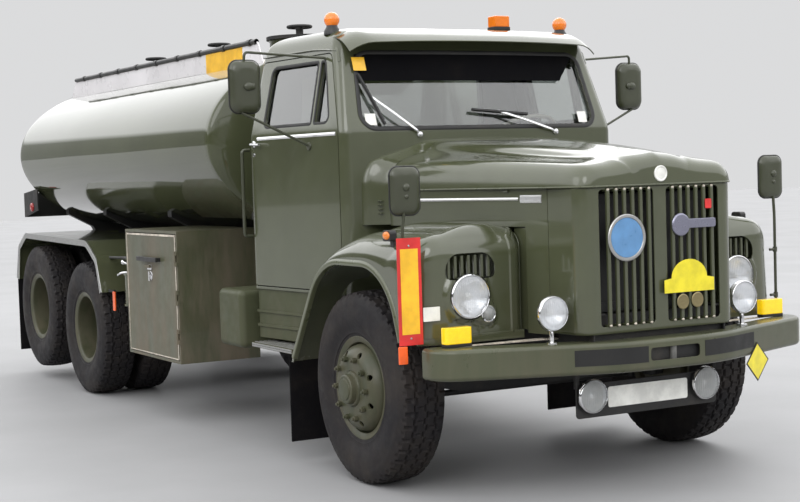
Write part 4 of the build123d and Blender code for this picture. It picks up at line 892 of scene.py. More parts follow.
def sectioned(row, bottom):
    """Bonnet section from the left foot over the crown to the right foot, as a smooth line."""
    x, half, shoulder, foot_y, foot_z, bulge_y, bulge_z, peak = row
    roll, start = 0.095, SEAM_Z + 0.012
    left = [(x, half, bottom), (x, half, (bottom + start) / 2), (x, half, start)]
    for k in range(1, 5):
        t = math.radians(21 * k)
        left.append((x, half - roll * (1 - math.cos(t)), start + (shoulder - start) * math.sin(t)))
    left += [(x, foot_y + 0.02, foot_z - 0.004), (x, foot_y - 0.04, foot_z + 0.010),
             (x, bulge_y + 0.01, bulge_z - 0.020), (x, bulge_y - 0.06, bulge_z + 0.002),
             (x, bulge_y * 0.35, bulge_z + 0.009), (x, 0.022, bulge_z + 0.011 + peak * 0.6),
             (x, 0, bulge_z + 0.012 + peak)]
    right = [(a, -b, c) for a, b, c in reversed(left[:-1])]
    return spline(left + right, 4)


# Bonnet sections: x, half width, top of the rolled side, foot y, foot z, bulge y, bulge z, centre ridge
BONNET = (
    (-0.334, 0.742, 1.779, 0.520, 1.822, 0.430, 1.893, 0.000),
    (0.000, 0.689, 1.772, 0.478, 1.802, 0.395, 1.868, 0.001),
    (0.400, 0.624, 1.762, 0.408, 1.780, 0.335, 1.837, 0.003),
    (0.800, 0.560, 1.742, 0.338, 1.755, 0.275, 1.797, 0.005),
    (1.080, 0.516, 1.726, 0.290, 1.742, 0.215, 1.764, 0.007),
)
# The nose rolls down and in: x, less half width, less height
NOSE_ROLL = ((1.120, 0.003, 0.002), (1.150, 0.008, 0.008), (1.176, 0.018, 0.020), (1.192, 0.034, 0.036),
             (1.200, 0.052, 0.054), (1.203, 0.070, 0.074))
SEAM_Z = 1.600
LID_WALL = 0.012


def bonnet_rows(inset, bottom, start, end):
    rows = smooth_rows(BONNET, 5)
    last = BONNET[-1]
    for x, narrow, lower in NOSE_ROLL:
        slope = (x - last[0]) / (last[0] - BONNET[-2][0])
        drop = [last[k] + (last[k] - BONNET[-2][k]) * slope for k in range(8)]
        drop[0] = x
        drop[1] -= narrow
        drop[3] -= narrow
        drop[4] = drop[2] + 0.012
        drop[6] = max(drop[6], drop[4] + 0.018)
        for k in (2, 4, 6):
            drop[k] -= lower
        rows.append(drop)
    out = []
    for row in rows:
        if start <= row[0] <= end:
            x, half, shoulder, foot_y, foot_z, bulge_y, bulge_z, peak = row
            out.append(sectioned((x, half - inset, shoulder - inset, foot_y, foot_z - inset, bulge_y,
                                  bulge_z - inset, peak), bottom))
    return out


def make_bonnet():
    rows = bonnet_rows(0.0, SEAM_Z, -1, 2)
    rows[0] = [(x + 0.004, y, z) for x, y, z in rows[0]]
    outer = grid(rows, close_rows=True, cap_start=True, cap_end=True)
    inner_rows = bonnet_rows(LID_WALL, SEAM_Z - 0.02, -0.2, 1.19)
    inner_rows[0] = [(-0.4, y, z + 0.012) for x, y, z in inner_rows[0]]
    inner = grid(inner_rows, close_rows=True, cap_start=True, cap_end=True)
    lid = carved(outer, inner)
    put("bonnet_lid", lid, CLEAN_PAINT, "bonnet", replaces=("bonnet_lid",), smooth=30)
    tree = surface_tree(outer)
    # A bead along the lower edge of the lid, from cowl to cowl round the nose, in lighter olive as a painted highlight.
    side = [(row[0][0], row[0][1] + 0.001, SEAM_Z + 0.006) for row in rows]
    front = [(rows[-1][0][0] + 0.001, rows[-1][0][1] * k / 6, SEAM_Z + 0.006) for k in range(5, -6, -1)]
    path = side + front + [(x, -y, z) for x, y, z in reversed(side)]
    put("bonnet_bead", tube(path, 0.0042, 8), PAINT_HIGHLIGHT, "bonnet")
    badge = revolved([(0.0, 0.041), (0.006, 0.041), (0.009, 0.037), (0.007, 0.032), (0.005, 0.030), (0.007, 0.022),
                      (0.009, 0.0)], "x", 48, (rows[-1][0][0], 0.0, 1.661))
    put("nose_badge", badge, WHITE, "bonnet")
    # Scuttle between the lid and the cab
    cowl = [(-0.338, 0.742, 1.779, 0.520, 1.822, 0.430, 1.893, 0.0),
            (-0.375, 0.768, 1.784, 0.545, 1.828, 0.450, 1.894, 0.0),
            (-0.415, 0.812, 1.790, 0.575, 1.836, 0.480, 1.896, 0.0),
            (-0.445, 0.850, 1.796, 0.600, 1.842, 0.490, 1.897, 0.0),
            (-0.520, 0.868, 1.798, 0.610, 1.844, 0.490, 1.897, 0.0)]
    skin = grid([sectioned(row, 1.408) for row in smooth_rows(cowl, 3)], cap_start=False)
    put("scuttle", thickened(skin, 0.006), CLEAN_PAINT, "root", smooth=30)
    return tree


def make_cab():
    outer = cab_form(0.0, CAB_FLOOR, 0.0)
    inner = cab_form(CAB_WALL, CAB_FLOOR + 0.05, 0.04)
    core = cab_form(CAB_WALL, CAB_FLOOR - 0.02, 0.04)
    reach = (0.78, 1.3)
    opening = rounded_plate(DOOR_OUTLINE, "y", *reach)
    screen = rounded_plate(SCREEN_OUTLINE, "x", -0.9, -0.3)
    rear = rounded_plate(REAR_WINDOW, "x", -1.8, -1.3)
    shell = carved(outer, inner, opening, opening.mirrored(), screen, rear)
    put("cab_shell", shell, CLEAN_PAINT, "root", replaces=("cab_shell",), bevel=0.004, limit=40)
    leaf = carved(carved(outer, core), rounded_plate(inset_table(DOOR_OUTLINE, DOOR_GAP), "y", *reach),
                  how="INTERSECT")
    leaf = carved(leaf, rounded_plate(WINDOW_OUTLINE, "y", *reach), rounded_plate(VENT_OUTLINE, "y", *reach))
    for side, shape in (("left", leaf), ("right", leaf.mirrored())):
        put(f"door_{side}", shape, CLEAN_PAINT, f"door_{side}", replaces=(f"door_{side}",), bevel=0.004,
            limit=40)
    tree = surface_tree(outer)

    # Sun visor: it leaves the roof flat, rolls down to its front edge and droops at its ends
    rows = []
    for j in range(49):
        y = -0.878 + 1.756 * j / 48
        share = abs(y) / 0.878
        x_front = -0.437 - 0.085 * share ** 5
        z_front = 2.484 - 0.016 * share ** 2 - 0.048 * max(0.0, (share - 0.84) / 0.16) ** 2
        z_roof = on_top(tree, -0.74, min(0.82, abs(y)))[2] - 0.004 - 0.035 * max(0.0, (share - 0.9) / 0.1)
        row = []
        for k in range(17):
            t = k / 16
            row.append((-0.74 + (x_front + 0.74) * t, y, z_roof + (z_front - z_roof) * t ** 2.1))
        rows.append(row)
    put("sun_visor", thickened(grid(rows), 0.007), CLEAN_PAINT, "root", smooth=60)

    # Rubber round the glass, on the skin
    def front_seal(name, outline, width):
        path = [on_front(tree, y, z, 0.003) for y, z in finely(corner_path(inset_table(outline, -width * 0.2)), 0.03)]
        put(name, sweep(path, ring(width / 2, 10, 0.34), closed=True, up=(1, 0, 0.3)), RUBBER, "root")
    front_seal("screen_seal", SCREEN_OUTLINE, 0.026)
    path = [(tree.ray_cast(Vector((-5, y, z)), Vector((1, 0, 0)))[0].x - 0.002, y, z)
            for y, z in finely(corner_path(REAR_WINDOW), 0.03)]
    put("rear_window_seal", sweep(path, ring(0.018, 10, 0.34), closed=True, up=(-1, 0, 0)), RUBBER, "root")
    for name, outline, width in (("window_seal", WINDOW_OUTLINE, 0.022), ("vent_seal", VENT_OUTLINE, 0.018)):
        path = [on_side(tree, x, z, -0.001) for x, z in corner_path(outline, step=0.015)]
        seal = sweep(path, ring(width / 2, 8, 0.4), closed=True, up=(0, 1, 0.2))
        put(f"{name}_left", seal, RUBBER, "door_left")
        put(f"{name}_right", seal.mirrored(), RUBBER, "door_right")
    return tree


# Front wing
WING_FRONT = 0.750
WING_TOP = 1.402
WING_OUTER = 1.212
WING_INNER = 0.545
WING_OUTLINE = ((WING_FRONT, 0.5, 0), (WING_FRONT, WING_TOP, 0.135), (-0.278, WING_TOP, 0.79), (-0.88, 0.5, 0))
ARCH_OUTLINE = ((0.62, 0.4, 0), (0.593, 0.731, 0.1), (0.428, 1.21, 0.38), (-0.328, 1.21, 0.42), (-0.869, 0.4, 0))
WING_CENTRE = Vector((-0.03, 0.70))
LAMP_Y, LAMP_Z, LAMP_RADIUS = 0.894, 1.061, 0.118
SIDE_LAMP_Y, SIDE_LAMP_Z = 0.787, 0.965


def ray_radius(path, angle):
    """How far a ray from WING_CENTRE goes to an open line of points."""
    d = Vector((math.cos(angle), math.sin(angle)))
    best = 0.0
    for a, b in zip(path, path[1:]):
        p, q = Vector(a) - WING_CENTRE, Vector(b) - WING_CENTRE
        e = q - p
        cross = d.x * e.y - d.y * e.x
        if abs(cross) < 1e-12:
            continue
        t = (p.x * e.y - p.y * e.x) / cross
        s = (p.x * d.y - p.y * d.x) / cross
        if t > 0 and -1e-6 <= s <= 1 + 1e-6:
            best = max(best, t)
    return best


def pod(y, z):
    """How far the raised lamp surround stands out of the wing's front at a point."""
    a, b = Vector((LAMP_Y, LAMP_Z)), Vector((SIDE_LAMP_Y, SIDE_LAMP_Z))
    p = Vector((y, z))
    t = max(0.0, min(1.0, (p - a).dot(b - a) / (b - a).length_squared))
    gap = (p - a.lerp(b, t)).length - (0.146 * (1 - t) + 0.052 * t)
    s = max(0.0, min(1.0, (0.016 - gap) / 0.022))
    return 0.020 * s * s * (3 - 2 * s)


def wing_skin():
    """The left front wing's outer surface: across from the inner edge, over the round edge, down to the arch."""
    outline = corner_path(WING_OUTLINE, closed=False, step=0.01)
    arch = corner_path(ARCH_OUTLINE, closed=False, step=0.01)
    first, last = math.radians(9.5), math.radians(188.5)
    count = 190
    rows = []
    for i in range(count + 1):
        angle = first + (last - first) * i / count
        d = Vector((math.cos(angle), math.sin(angle)))
        here = WING_CENTRE + d * ray_radius(outline, angle)
        beyond = Vector((math.cos(angle + 0.002), math.sin(angle + 0.002)))
        along = (WING_CENTRE + beyond * ray_radius(outline, angle + 0.002) - here).normalized()
        inward = Vector((-along.y, along.x))
        front = max(0.0, min(1.0, (along.y - 0.1) / 0.6)) if here.x > 0.5 else 0.0
        inner = 0.022 + 0.068 * front
        wide = 0.16 + 0.08 * (1 - front)
        tall = min(0.24, 0.72 * (ray_radius(outline, angle) - ray_radius(arch, angle)))
        row = []
        for k in range(7):
            t = math.pi / 2 * k / 6
            p = here + inward * (inner * (1 - math.sin(t)))
            row.append((p.x, WING_INNER + inner * (1 - math.cos(t)), p.y))
        low, high = WING_INNER + inner, WING_OUTER - wide
        for k in range(1, 60):
            y = low + (high - low) * k / 60
            u = (y - low) / (high - low)
            crown = 0.034 * (1 - (2 * u - 1) ** 2) * (1 - front) * min(1.0, tall / 0.12) ** 2
            lift = pod(y, here.y) * front
            p = here + inward * (0.008 - crown)
            row.append((p.x + lift, y, p.y))
        for k in range(11):
            t = math.pi / 2 * k / 10
            p = here + inward * 0.008 * (1 - k / 10) - d * tall * (1 - math.cos(t))
            row.append((p.x, high + wide * math.sin(t), p.y))
        edge = Vector((row[-1][0], row[-1][2]))
        target = WING_CENTRE + d * ray_radius(arch, angle)
        for k in range(1, 7):
            p = edge.lerp(target, k / 6)
            row.append((p.x, WING_OUTER, p.y))
        rows.append(row)
    return grid(rows), [row[-1] for row in rows]


def make_wings():
    skin, arch = wing_skin()
    sheet = thickened(skin, 0.006)
    cuts = [box(0.3, 0.9, 0.4, 1.3, 0.3, 0.858), box(-1.0, 0.3, 0.4, 1.3, 0.3, 0.612),
            prism([(x, y) for x, y, z in cab_ring(CAB_LEVELS[0], -0.004)], "z", 0.996, 2.0),
            box(-0.9, -0.425, 0.3, 0.83, 0.8, 2.0),
            revolved([(0.4, 0.0), (0.4, LAMP_RADIUS + 0.004), (0.9, LAMP_RADIUS + 0.004), (0.9, 0.0)], "x", 48,
                     (0, LAMP_Y, LAMP_Z)),
            rounded_plate(((0.730, 1.150, 0.03), (1.028, 1.150, 0.03), (1.028, 1.283, 0.085), (0.730, 1.283, 0.085)),
                          "x", 0.60, 0.9)]
    lamp_rim = revolved([(0.60, LAMP_RADIUS + 0.018), (0.60, 0.0), (0.765, 0.0), (0.765, LAMP_RADIUS + 0.018)], "x",
                        48, (0, LAMP_Y, LAMP_Z))
    vent = carved(cuts.pop(), lamp_rim)
    wing = carved(sheet, *cuts, vent)
    lip = []
    for x, y, z in arch[3:-3]:
        lip.append((x, y, z))
    lip_section = [(-0.034, -0.001), (-0.026, 0.006), (-0.010, 0.009), (0.000, 0.006), (0.003, -0.004),
                   (0.002, -0.022), (-0.004, -0.022), (-0.006, -0.004), (-0.020, -0.004)]
    edge = sweep(lip, lip_section, up=(0, 1, 0))
    bars = Shape()
    for k in range(7):
        y = 0.879 + (k - 3) * 0.040
        bars = bars + box(0.712, 0.728, y - 0.008, y + 0.008, 1.155, 1.272)
    wall = rounded_plate(inset_table(((0.70, 0.86, 0), (0.70, WING_TOP - 0.02, 0.09), (-0.40, WING_TOP - 0.02, 0.02),
                                      (-0.40, 0.86, 0)), 0.0), "y", WING_INNER, WING_INNER + 0.006)
    gasket = box(0.640, 0.757, 0.530, 0.538, 0.862, WING_TOP - 0.004)
    put("front_wings", both(wing), PAINT, "root", replaces=("front_wings",), smooth=40)
    apron = prism(corner_path(((0.738, 0.560, 0), (0.748, 0.560, 0), (0.748, 1.060, 0.06), (0.700, 1.185, 0),
                               (0.690, 1.182, 0), (0.738, 1.056, 0.06))), "z", 0.822, 0.866)
    put("wing_inner_walls", both(wall + gasket + apron), PAINT, "root", bevel=0.002)
    # The arch lips are lighter olive: a painted highlight along the rolled edge.
    put("wing_lips", both(edge), PAINT_HIGHLIGHT, "root", smooth=50)
    put("wing_vent_bars", both(bars), CLEAN_PAINT, "root", bevel=0.002)


# Bumper
BUMPER_BOTTOM, BUMPER_TOP = 0.662, 0.822
BUMPER_PLAN = ((0.80, -1.215, 0), (0.956, -1.215, 0.16), (1.296, -0.3, 0.9), (1.296, 0.3, 0.9), (0.956, 1.215, 0.16),
               (0.80, 1.215, 0))


def make_bumper():
    path = [(x, y, 0.0) for x, y in corner_path(BUMPER_PLAN, closed=False, step=0.02)]
    r, wall = 0.024, 0.006
    section = [(-0.052, BUMPER_BOTTOM)]
    for k in range(7):
        t = math.pi / 2 * k / 6
        section.append((-r + r * math.sin(t), BUMPER_BOTTOM + r - r * math.cos(t)))
    for k in range(7):
        t = math.pi / 2 * k / 6
        section.append((-r + r * math.cos(t), BUMPER_TOP - r + r * math.sin(t)))
    section += [(-0.13, BUMPER_TOP), (-0.13, BUMPER_TOP - wall), (-r, BUMPER_TOP - wall), (-wall, BUMPER_TOP - r),
                (-wall, BUMPER_BOTTOM + r), (-r, BUMPER_BOTTOM + wall), (-0.052, BUMPER_BOTTOM + wall)]
    bar = sweep(path, section, up=(0, 0, 1))
    slot = rounded_plate(((-0.160, 0.712, 0.018), (0.160, 0.712, 0.018), (0.160, 0.778, 0.018), (-0.160, 0.778, 0.018)),
                         "x", 1.24, 1.35, step=0.004)
    bar = carved(bar, slot)
    put("bumper", bar, BUMPER_PAINT, "root", replaces=("bumper",), smooth=40)
    inner = [(x, y) for x, y in corner_path([(x - (0.115 if abs(y) < 1 else 0.06), y * 0.955, r)
                                            for x, y, r in BUMPER_PLAN[1:-1]], step=0.03)]
    top = prism(inner + [(0.80, 1.16), (0.80, -1.16)], "z", BUMPER_TOP - 0.010, BUMPER_TOP - 0.003)
    notch = box(0.70, 1.19, -0.44, 0.44, 0.79, 0.85)
    # The top sheet is pale: partly worn bare, partly a painted reflection of the bright sky.
    put("bumper_top_sheet", carved(top, notch), WORN_AND_SHEEN_SHEET, "root", bevel=0.0015)
    back = box(1.262, 1.268, -0.2, 0.2, 0.69, 0.80)
    pin = revolved([(0.69, 0.0), (0.69, 0.018), (0.80, 0.018), (0.80, 0.0)], "z", 24, (1.274, 0.0, 0.0))
    arms = Shape()
    for side in (-1, 1):
        y0, y1 = sorted((side * 0.35, side * 0.43))
        arms = arms + box(1.180, 1.230, y0, y1, 0.735, 0.805)
        arms = arms + box(1.040, 1.062, side * 0.452 - 0.012, side * 0.452 + 0.012, 0.570, 0.815)
    panel = rounded_plate(((-0.462, 0.415, 0.02), (0.462, 0.415, 0.02), (0.462, 0.592, 0.02), (-0.462, 0.592, 0.02)),
                          "x", 1.050, 1.060)
    put("bumper_brackets", back + arms + panel, CHASSIS, "root", bevel=0.003)
    put("tow_pin", pin, IRON, "root")


# Nose and grille
GRILLE_X = 1.193
NOSE_BOTTOM = 0.845
NOSE_HALF = 0.512
NOSE_SEAM_X = 0.920
WINDOW_INNER, WINDOW_OUTER, WINDOW_BOTTOM, WINDOW_TOP = 0.042, 0.388, 0.893, 1.588


def make_nose():
    def ring_at(z, inset):
        table = ((NOSE_SEAM_X, -NOSE_HALF + inset, 0), (GRILLE_X - inset, -NOSE_HALF + 0.012 + inset, 0.085),
                 (GRILLE_X - inset, NOSE_HALF - 0.012 - inset, 0.085), (NOSE_SEAM_X, NOSE_HALF - inset, 0))
        return [(x, y, z) for x, y in corner_path(table, pieces=14)]
    outer = grid([ring_at(z, inset) for z, inset in ((NOSE_BOTTOM, 0.030), (NOSE_BOTTOM + 0.004, 0.014),
                                                     (NOSE_BOTTOM + 0.014, 0.004), (NOSE_BOTTOM + 0.03, 0.0),
                                                     (SEAM_Z - 0.001, 0.0))],
                 close_rows=True, cap_start=True, cap_end=True)
    hollow = grid([[(x - (0.03 if x < NOSE_SEAM_X + 0.001 else 0), y, z) for x, y, z in ring_at(z, 0.010)]
                   for z in (NOSE_BOTTOM - 0.05, SEAM_Z + 0.05)], close_rows=True, cap_start=True, cap_end=True)
    holes = []
    for side in (-1, 1):
        table = ((side * WINDOW_INNER, WINDOW_BOTTOM, 0.02), (side * WINDOW_OUTER, WINDOW_BOTTOM, 0.02),
                 (side * WINDOW_OUTER, WINDOW_TOP, 0.02), (side * WINDOW_INNER, WINDOW_TOP, 0.02))
        holes.append(rounded_plate(table, "x", GRILLE_X - 0.06, GRILLE_X + 0.02, step=0.004))
    shell = carved(outer, hollow, *holes)
    put("nose_shell", shell, CLEAN_PAINT, "root", replaces=("nose_shell",), bevel=0.003, limit=40)
    slats, tips = Shape(), Shape()
    for side in (-1, 1):
        for i in range(6):
            y = side * (0.077 + i * 0.052)
            path = bent([(GRILLE_X - 0.030, y, WINDOW_BOTTOM + 0.002), (GRILLE_X + 0.006, y, WINDOW_BOTTOM + 0.004),
                         (GRILLE_X + 0.006, y, WINDOW_TOP + 0.004), (GRILLE_X - 0.030, y, WINDOW_TOP - 0.002)], 0.02)
            section = corner_path(((-0.012, -0.008, 0.003), (0.012, -0.008, 0.003), (0.009, 0.008, 0.006),
                                   (-0.009, 0.008, 0.006)), pieces=3)
            slats = slats + sweep(path, [(a, b) for a, b in section], up=(1, 0, 0.01))
            for z in (WINDOW_BOTTOM + 0.006, WINDOW_TOP):
                tips = tips + ball((GRILLE_X + 0.009, y, z), 0.0085, (0.9, 1.0, 0.8), 12)
    put("grille_slats", slats, CLEAN_PAINT, "root", replaces=("grille_slats",), smooth=40)
    put("slat_ends", tips, WORN_AND_SHEEN_SHEET, "root")


# Tank
TANK_HALF_WIDTH, TANK_HALF_HEIGHT, TANK_CENTRE = 1.184, 0.660, 1.950
TANK_FRONT, TANK_REAR = -1.960, -6.500
HEAD_SET, HEAD_RISE = 0.045, 0.095


def make_tank():
    def ellipse(x, share, grow=0.0, around=144):
        a, b = TANK_HALF_WIDTH * share + grow, TANK_HALF_HEIGHT * share + grow
        return [(x, a * math.cos(t), TANK_CENTRE + b * math.sin(t))
                for t in (2 * math.pi * k / around for k in range(around))]

    # along x from the rear pole to the front pole: x, share of the ellipse, growth
    profile = []
    rear, front = TANK_REAR + HEAD_SET, TANK_FRONT - HEAD_SET
    dome = []
    for k in range(1, 19):
        t = math.pi / 2 * k / 18
        dome.append((math.sin(t) ** 1.15, max(0.02, math.cos(t) ** 0.62)))
    profile += [(rear - HEAD_RISE * reach, share, -0.002) for reach, share in reversed(dome)]
    profile += [(rear + 0.001, 1.0, -0.001)]
    stations = [rear + 0.05 + (front - rear - 0.1) * k / 40 for k in range(41)]
    for x in stations:
        profile.append((x, 1.0, 0.0))
    profile += [(front - 0.001, 1.0, -0.001)]
    profile += [(front + HEAD_RISE * reach, share, -0.002) for reach, share in dome]
    profile.sort()
    rng = random.Random(4)
    waves = [(rng.uniform(0.5, 1.6), rng.uniform(1, 5), rng.uniform(0, 6.28)) for k in range(6)]
    rows = []
    for x, share, grow in profile:
        row = []
        for i, (a, b, c) in enumerate(ellipse(x, share, grow)):
            t = 2 * math.pi * i / 144
            dent = sum(math.sin(f * x * 2 + round(m) * t + p) for f, m, p in waves) * 0.0005 * (share > 0.99)
            row.append((a, b * (1 + dent / 2), TANK_CENTRE + (c - TANK_CENTRE) * (1 + dent)))
        rows.append(row)
    barrel = grid(rows, close_rows=True, cap_start=True, cap_end=True)
    necks = Shape()
    for x in (-3.0, -4.55, -6.05):
        necks = necks + revolved([(2.45, 0.232), (2.60, 0.232), (2.618, 0.226), (2.700, 0.225), (2.708, 0.236),
                                  (2.715, 0.236), (2.715, 0.0)], "z", 64, (x, 0.0, 0.0))
    put("tank", barrel, TANK_PAINT, "root", replaces=("tank",), smooth=35)
    put("tank_necks", necks, TANK_PAINT, "root", smooth=35)


bonnet_tree = make_bonnet()
cab_tree = make_cab()
make_wings()
make_bumper()
make_nose()
make_tank()


# Lamps
def lamp_parts(x, y, z, radius, depth, dome=0.016):
    """Bowl, bright rim, reflector and domed glass of a lamp that faces forward."""
    bowl = revolved([(x - depth, 0.0), (x - depth, radius * 0.42), (x - depth * 0.8, radius * 0.66),
                     (x - depth * 0.45, radius * 0.88), (x - 0.010, radius * 0.985), (x - 0.002, radius)],
                    "x", 48, (0, y, z))
    rim = revolved([(x - 0.010, radius * 0.97), (x - 0.008, radius), (x + 0.004, radius * 0.998),
                    (x + 0.011, radius * 0.965), (x + 0.013, radius * 0.93), (x + 0.009, radius * 0.90),
                    (x + 0.003, radius * 0.895), (x - 0.006, radius * 0.90)], "x", 56, (0, y, z), closed=True)
    reflector = revolved([(x - 0.002, radius * 0.90), (x - 0.018, radius * 0.80), (x - 0.034, radius * 0.58),
                          (x - 0.044, radius * 0.34), (x - 0.048, 0.0)], "x", 48, (0, y, z))
    bulb = ball((x - 0.028, y, z), radius * 0.16, (1.3, 1.0, 1.0), 14)
    glass = revolved([(x + 0.004, radius * 0.905), (x + 0.004 + dome * 0.35, radius * 0.80),
                      (x + 0.004 + dome * 0.7, radius * 0.55), (x + 0.004 + dome * 0.95, radius * 0.25),
                      (x + 0.004 + dome, 0.0)], "x", 56, (0, y, z))
    return bowl, rim, reflector, bulb, glass


def make_lamps():
    bowls, rims, reflectors, bulbs, glasses = Shape(), Shape(), Shape(), Shape(), Shape()
    # x, y, z, radius, depth
    rows = ((0.757, 0.894, 1.061, 0.118, 0.070), (1.108, 0.626, 0.976, 0.091, 0.070),
            (1.082, 0.372, 0.530, 0.090, 0.020))
    for row in rows:
        for side in (-1, 1):
            x, y, z, radius, depth = row
            parts = lamp_parts(x, side * y, z, radius, depth)
            bowls, rims, reflectors = bowls + parts[0], rims + parts[1], reflectors + parts[2]
            bulbs, glasses = bulbs + parts[3], glasses + parts[4]
    for side in (-1, 1):
        rims = rims + tube(bent([(1.092, side * 0.626, 0.822), (1.092, side * 0.626, 0.862),
                                 (1.085, side * 0.626, 0.900)], 0.02), 0.013, 14)
        rims = rims + revolved([(0.821, 0.0), (0.821, 0.030), (0.828, 0.030), (0.833, 0.018), (0.833, 0.0)], "z", 28,
                               (1.092, side * 0.626, 0.0))
    put("lamp_bowls", bowls, CLEAN_PAINT, "root", replaces=("front_lamps",))
    put("lamp_rims", rims, CHROME, "root")
    put("lamp_reflectors", reflectors, REFLECTOR, "root")
    put("lamp_bulbs", bulbs, WHITE, "root")
    put("lamp_glass", glasses, CLEAR, "root")
    side_glass = revolved([(0.752, 0.036), (0.768, 0.034), (0.778, 0.025), (0.783, 0.012), (0.784, 0.0)], "x", 32,
                          (0, SIDE_LAMP_Y, SIDE_LAMP_Z))
    side_rim = revolved([(0.750, 0.045), (0.762, 0.044), (0.765, 0.039), (0.762, 0.035), (0.750, 0.036)], "x", 32,
                        (0, SIDE_LAMP_Y, SIDE_LAMP_Z), closed=True)
    side_bowl = revolved([(0.748, 0.0), (0.750, 0.020), (0.756, 0.036)], "x", 32, (0, SIDE_LAMP_Y, SIDE_LAMP_Z))
    put("side_lamp_bowls", both(side_bowl), WHITE, "root")
    put("side_lamp_glass", both(side_glass), CLEAR, "root")
    put("side_lamp_rims", both(side_rim), CHROME, "root")

    # Direction lamps on the bumper, beacons on the roof and marker lamps on the wings
    lens_box = rounded_plate(((0.832, 0.965, 0.012), (0.888, 0.965, 0.02), (0.888, 1.123, 0.02), (0.832, 1.123, 0.012)),
                             "z", 0.838, 0.922, step=0.003)
    foot = rounded_plate(((0.830, 0.966, 0.012), (0.886, 0.966, 0.012), (0.886, 1.122, 0.012), (0.830, 1.122, 0.012)),
                         "z", 0.8225, 0.838, step=0.004)
    put("direction_lenses", both(lens_box), YELLOW, "root", replaces=("amber_lamps",), bevel=0.005,
        segments=3)
    put("direction_feet", both(foot), BLACK_PLASTIC, "root", bevel=0.002)
    domes, collars = Shape(), Shape()
    for side in (-1, 1):
        low = on_top(cab_tree, -0.83, side * 0.83)[2]
        domes = domes + ball((-0.83, side * 0.83, 2.6325), 0.047, steps=32)
        collars = collars + revolved([(low - 0.020, 0.050), (low + 0.002, 0.050), (2.592, 0.034), (2.600, 0.034),
                                      (2.600, 0.0)], "z", 40, (-0.83, side * 0.83, 0.0))
    low = on_top(cab_tree, -0.83, 0.36)[2]
    cube = rounded_plate(((-0.876, 0.303, 0.014), (-0.784, 0.303, 0.014), (-0.784, 0.417, 0.014), (-0.876, 0.417, 0.014)),
                         "z", low + 0.018, 2.678, step=0.004)
    plate = rounded_plate(((-0.880, 0.300, 0.014), (-0.780, 0.300, 0.014), (-0.780, 0.420, 0.014), (-0.880, 0.420, 0.014)),
                          "z", low - 0.004, low + 0.018, step=0.004)
    put("beacon_domes", domes, AMBER, "root", smooth=50)
    put("beacon_cube", cube, AMBER, "root", bevel=0.006, segments=3)
    put("beacon_feet", collars + plate, BLACK_PLASTIC, "root", bevel=0.002)
    marker = ball((0.45, 1.206, 1.382), 0.024, (1.5, 0.5, 0.9), 20)
    shell = rounded_plate(((0.408, 1.352, 0.012), (0.492, 1.352, 0.012), (0.492, 1.410, 0.02), (0.408, 1.410, 0.02)),
                          "y", 1.165, 1.206, step=0.004)
    shell = shell + box(0.430, 0.470, 1.120, 1.175, 1.300, 1.360)
    put("wing_marker_lenses", both(marker), AMBER, "root")
    put("wing_marker_shells", both(shell), BLACK_PLASTIC, "root", bevel=0.004)

    # Rear lamps: red and amber glasses on the board
    for name, y, material in (("stop", 0.960, RED), ("turn", 0.760, AMBER), ("tail", 0.560, RED)):
        lens_round = revolved([(-6.730, 0.052), (-6.744, 0.052), (-6.753, 0.046), (-6.757, 0.030), (-6.758, 0.0)], "x",
                              40, (0, y, 1.510))
        put(f"rear_{name}_lenses", both(lens_round), material, "root")


def mirror_head(x0, x1, y0, y1, z0, z1, r):
    """A mirror's shell, domed to the front, and its glass at the back."""
    rows = []
    count = 14
    for share, inset in ((0.0, 0.004), (0.06, 0.0), (0.45, 0.002), (0.75, 0.010), (0.92, 0.026), (1.0, 0.052)):
        table = ((y0 + inset, z0 + inset, max(0.004, r - inset * 0.3)), (y1 - inset, z0 + inset, max(0.004, r - inset * 0.3)),
                 (y1 - inset, z1 - inset, max(0.004, r - inset * 0.3)), (y0 + inset, z1 - inset, max(0.004, r - inset * 0.3)))
        rows.append([(x0 + (x1 - x0) * share, y, z) for y, z in corner_path(table, pieces=count)])
    shell = grid(rows, close_rows=True, cap_start=True, cap_end=True)
    frame_in = 0.010
    table = ((y0 + frame_in, z0 + frame_in, r), (y1 - frame_in, z0 + frame_in, r), (y1 - frame_in, z1 - frame_in, r),
             (y0 + frame_in, z1 - frame_in, r))
    glass = prism(corner_path(table, pieces=count), "x", x0 - 0.0015, x0 + 0.004)
    border = tube([(x0 + (x1 - x0) * 0.30, y, z) for x, y, z in rows[1]], 0.0045, 8, closed=True)
    return shell, glass, border


